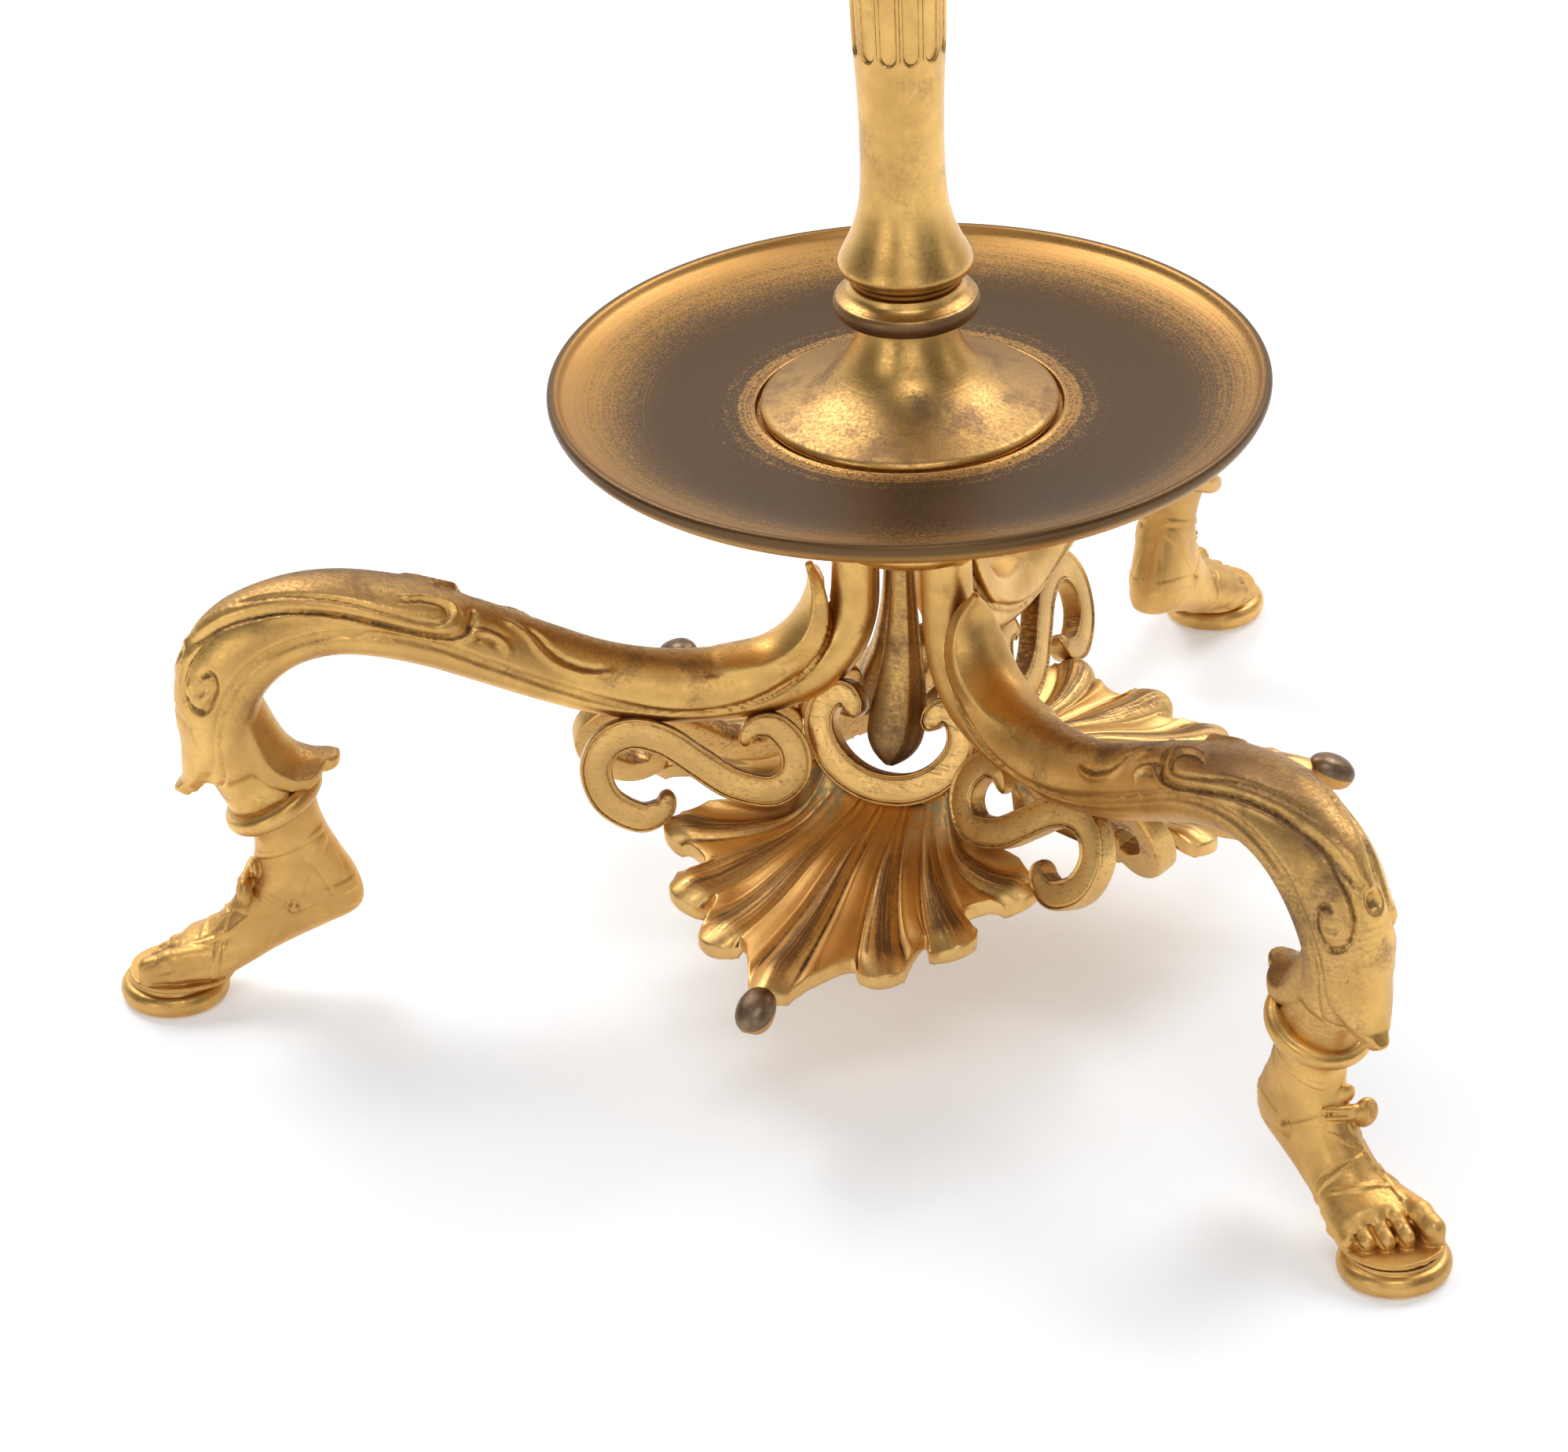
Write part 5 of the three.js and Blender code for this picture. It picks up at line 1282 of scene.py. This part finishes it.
def gilt_material(name, up_wear=1.0, rings=False, brushed=0.5, smudged=0.5, streaked=False, pale=0.18,
                  matt=0.0):
    """Fire-gilt metal with its wear and verdigris, and painted shade in its hollows and on the legs' flanks.
    """
    g = Graph(name)
    patches = g.noise(55, 4, 0.6)
    grain = g.noise(1500, 6, 0.62)
    dots = g.noise(700, 3, 0.5)
    strokes = g.noise(1900, 2, 0.5, stretch=(0.10, 1, 1), turn=(0.4, 0.7, 0.9))
    engraved = engraving(g) if streaked else None
    # worn holds the wear and the painted shade of the legs' flanks
    worn = g.jitter(wear(g, up_wear, smudged, engraved), grain, 0.7 if rings else 0.8)
    worn = g.jitter(g.jitter(worn, strokes, brushed), patches, 0.9)
    brown = g.between(worn, 0.05, 1.15, 0.0, 0.92)
    # painted shade: recesses, grooves and creases of the hollow layer darkened towards a dark brown
    hollow_shade = g.between(g.jitter(g.layer("hollow"), dots, 0.5), 0.15, 0.85, 0.0, 0.92)
    specks = g.between(g.noise(420, 5, 0.7), 0.66, 0.74, 0.0, 0.25 if rings else 0.6)
    green = g.times(g.times(g.layer("green"), 0.7), g.between(dots, 0.35, 0.65))
    tone = g.blend(g.between(patches, 0.34, 0.66), GOLD_DEEP, GOLD)
    tone = g.blend(g.between(grain, 0.3, 0.75, pale * 0.5, pale), tone, GOLD_PALE)
    for share, colour in ((brown, RUB_AND_SHADE_BROWN), (hollow_shade, HOLLOW_SHADE), (specks, RUB_AND_SHADE_BROWN), (green, VERDIGRIS)):
        tone = g.blend(share, tone, colour)
    bright, dull = (0.26, 0.40) if rings else (0.32, 0.46)
    rough = g.between(grain, 0.3, 0.7, bright + matt, dull + matt)
    for share, more in ((brown, 0.14), (hollow_shade, 0.25), (green, 0.3)):
        rough = g.plus(rough, g.times(share, more))
    normal = lathe_grain(g, grain) if rings else chased_grain(g, grain, strokes, brushed, engraved)
    metallic = g.math("SUBTRACT", 1.0, g.times(green, 0.9))
    return g.metal(tone, g.math("MINIMUM", rough, 1.0), normal, metallic)


GILDINGS = {
    "gilt": {},
    "gilt_brushed": {"brushed": 2.2, "smudged": 0.35, "pale": 0.34},                   # scrolls
    "gilt_matt": {"smudged": 0.3, "pale": 0.2, "matt": 0.09},                          # feet
    "gilt_shell": {"smudged": 0.2, "streaked": True, "pale": 0.45, "matt": 0.03},      # aprons
    "gilt_turned": {"up_wear": 0.6, "rings": True, "brushed": 0.3, "smudged": 0.45},   # column
}


DISH_DARK = (0.110, 0.064, 0.033, 1)
DISH_WARM = (0.47, 0.255, 0.080, 1)
DISH_LIT_SIDE = (-0.95, 0.05, 0.0)      # the side of the tray where the rim's gold reaches furthest in, as a painted reflection
DISH_SPREAD = 0.006          # metres that the gold reaches further in there, as a painted reflection


def tray_material():
    """Brown patina that thins to gold towards the rim and round the boss; on one side the rim's gold reaches
    further in as a painted reflection.
    """
    g = Graph("patinated_tray")
    far, high = g.radius()
    rings = g.rings(2400, 3, 0.6)
    grain = g.noise(2200, 4, 0.65)
    place = g.jitter(far, g.noise(28, 4, 0.6), 0.008)
    place = g.jitter(g.jitter(place, grain, 0.026), rings, 0.014)
    heading = g.node("VectorMath", {0: g.place}, operation="NORMALIZE").outputs[0]
    # painted reflection: the rim's gold reaches further in on one side of the tray
    side = g.node("VectorMath", {0: heading, 1: DISH_LIT_SIDE}, operation="DOT_PRODUCT").outputs["Value"]
    rim = g.plus(place, g.times(side, DISH_SPREAD))
    gold = g.plus(g.between(rim, 0.049, 0.065), g.between(place, 0.0335, 0.0285))
    tone = g.blend(gold, DISH_DARK, DISH_WARM)
    lip = g.times(g.between(far, 0.0640, 0.0652), g.between(high, 0.116, 0.1175))
    tone = g.blend(g.times(lip, 0.9), tone, DISH_DARK)
    tone = g.blend(g.times(g.between(g.facing_up(), -0.2, -0.7), 0.9), tone, GOLD_DEEP)
    rough = g.between(grain, 0.3, 0.7, 0.36, 0.50)
    return g.metal(tone, rough, g.bump(grain, 0.15, 0.00006, g.bump(rings, 0.30, 0.00006)))


BEAD_BROWN = (0.15, 0.097, 0.058, 1)
BEAD_PALE = (0.28, 0.19, 0.12, 1)


def bead_material():
    g = Graph("patinated_bead")
    grain = g.noise(1300, 5, 0.6)
    clouds = g.noise(240, 3, 0.5)
    tone = g.blend(g.between(clouds, 0.35, 0.7), BEAD_BROWN, BEAD_PALE)
    gold = g.jitter(g.layer("gold"), grain, 0.8)
    tone = g.blend(g.between(gold, 0.3, 0.75), tone, GOLD_DEEP)
    rough = g.between(grain, 0.3, 0.7, 0.34, 0.50)
    return g.metal(tone, rough, g.bump(grain, 0.3, 0.00012))


IRON_DARK = (0.055, 0.05, 0.045, 1)
IRON_RUST = (0.16, 0.075, 0.035, 1)


def iron_material():
    g = Graph("iron")
    grain = g.noise(1800, 5, 0.65)
    rust = g.between(g.noise(260, 4, 0.6), 0.55, 0.7)
    rough = g.between(grain, 0.3, 0.7, 0.5, 0.75)
    metallic = g.math("SUBTRACT", 1.0, g.times(rust, 0.8))
    return g.metal(g.blend(rust, IRON_DARK, IRON_RUST), rough, g.bump(grain, 0.4, 0.0002), metallic)


# ---- stage ----
FLOOR_HALF = 4.0
FLOOR_TONE = (0.835, 0.875, 0.925, 1)
FLOOR_GLOW = 0.26


def add_floor():
    mesh = bpy.data.meshes.new("floor")
    h = FLOOR_HALF
    mesh.from_pydata([(-h, -h, 0), (h, -h, 0), (h, h, 0), (-h, h, 0)], [], [(0, 1, 2, 3)])
    g = Graph("paper")
    fibres = g.noise(900, 4, 0.6)
    matt = g.node("BsdfDiffuse", {"Color": FLOOR_TONE, "Normal": g.bump(fibres, 0.05, 0.0001)})
    path = g.node("LightPath")
    far, _ = g.radius()
    beyond = g.times(g.between(far, 0.35, 0.9), path.outputs["Is Camera Ray"])
    strength = g.plus(beyond, FLOOR_GLOW)
    glow = g.node("Emission", {"Color": (1, 1, 1, 1), "Strength": strength})
    seen = g.math("ADD", path.outputs["Is Camera Ray"], path.outputs["Is Glossy Ray"], clamp=True)
    lit = g.node("AddShader", {0: matt.outputs[0], 1: glow.outputs[0]})
    either = g.node("MixShader", {0: seen, 1: matt.outputs[0], 2: lit.outputs[0]})
    g.node("OutputMaterial", {0: either.outputs[0]})
    mesh.materials.append(g.material)
    floor = bpy.data.objects.new("floor", mesh)
    bpy.context.collection.objects.link(floor)


SKY_FRONT = 0.20             # brightness of the room on the camera's side, as the metal sees it
SKY_BACK = 0.95
SKY_TONE = (1.0, 0.985, 0.96, 1)
LAMP_AIM = Vector((0, 0, 0.08))
# place in metres as the camera sees it: right, away, up; width, height, watts
LAMPS = {
    "back_left": ((-0.62, 0.65, 1.25), 0.7, 0.7, 10),
    "back_right": ((0.75, 0.60, 1.20), 0.8, 0.8, 9),
    "front_left": ((-1.15, -1.2, 0.50), 0.6, 0.6, 3),
    "front_high": ((0.10, -0.95, 1.40), 0.8, 0.4, 5),
    "front_low": ((0.15, -1.7, 0.62), 1.1, 0.6, 3.4),
    "right": ((1.5, -0.1, 0.6), 0.5, 0.7, 1),
}


def add_world():
    """White to the camera; to the metal a room that is dimmer on the camera's side."""
    world = bpy.data.worlds.new("studio")
    world.use_nodes = True
    tree = world.node_tree
    tree.nodes.clear()
    turn = rad(CAMERA_TURN)
    way = add_node(tree, "TexCoord").outputs["Generated"]
    away = (-math.sin(turn), math.cos(turn), 0.0)
    behind = add_node(tree, "VectorMath", {0: way, 1: away}, operation="DOT_PRODUCT").outputs["Value"]
    bright = add_node(tree, "MapRange", {0: behind, 1: 0.10, 2: 0.80, 3: SKY_FRONT, 4: SKY_BACK},
                      interpolation_type="SMOOTHSTEP")
    room = add_node(tree, "Background", {0: SKY_TONE, 1: bright.outputs[0]})
    white = add_node(tree, "Background", {0: (1, 1, 1, 1), 1: 1.0})
    camera = add_node(tree, "LightPath").outputs["Is Camera Ray"]
    either = add_node(tree, "MixShader", {0: camera, 1: room.outputs[0], 2: white.outputs[0]})
    add_node(tree, "OutputWorld", {0: either.outputs[0]})
    bpy.context.scene.world = world


def add_lights():
    turn = Matrix.Rotation(rad(CAMERA_TURN), 3, "Z")
    for name, (place, width, height, power) in LAMPS.items():
        data = bpy.data.lights.new(name, "AREA")
        data.shape = "RECTANGLE"
        data.size, data.size_y, data.energy = width, height, power
        lamp = bpy.data.objects.new(name, data)
        bpy.context.collection.objects.link(lamp)
        lamp.location = turn @ Vector(place)
        lamp.rotation_mode = "QUATERNION"
        lamp.rotation_quaternion = (LAMP_AIM - lamp.location).to_track_quat("-Z", "Y")


# ---- pieces ----
# how the names of the CAD nodes begin that are not plain gilt; the first match counts
DRESSED = {
    "gilt_turned": ("hub", "dish_boss", "collar", "shaft", "astragal", "capital", "candle_nozzle"),
    "patinated_tray": ("dish", "drip_pan"),
    "patinated_bead": ("bead",),
    "iron": ("tie_rod", "rod_washer", "rod_nut", "leg_screw"),
}


def dress(materials):
    """Give every CAD node that stays its detailed material."""
    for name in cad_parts:
        worn = [kind for kind, starts in DRESSED.items() if name.startswith(starts)]
        slots = bpy.data.objects[name].data.materials
        slots.clear()
        slots.append(materials[worn[0] if worn else "gilt"])


def main():
    materials = {name: gilt_material(name, **settings) for name, settings in GILDINGS.items()}
    materials["patinated_tray"] = tray_material()
    materials["patinated_bead"] = bead_material()
    materials["iron"] = iron_material()
    add_camera()
    add_world()
    add_floor()
    add_lights()
    dress(materials)
    column(materials)
    legs(materials["gilt"])
    feet(materials["gilt_matt"])
    scrolls(materials["gilt_brushed"])
    aprons(materials["gilt_shell"])
    small_castings(materials)
    bpy.context.scene.view_settings.view_transform = "Standard"


main()
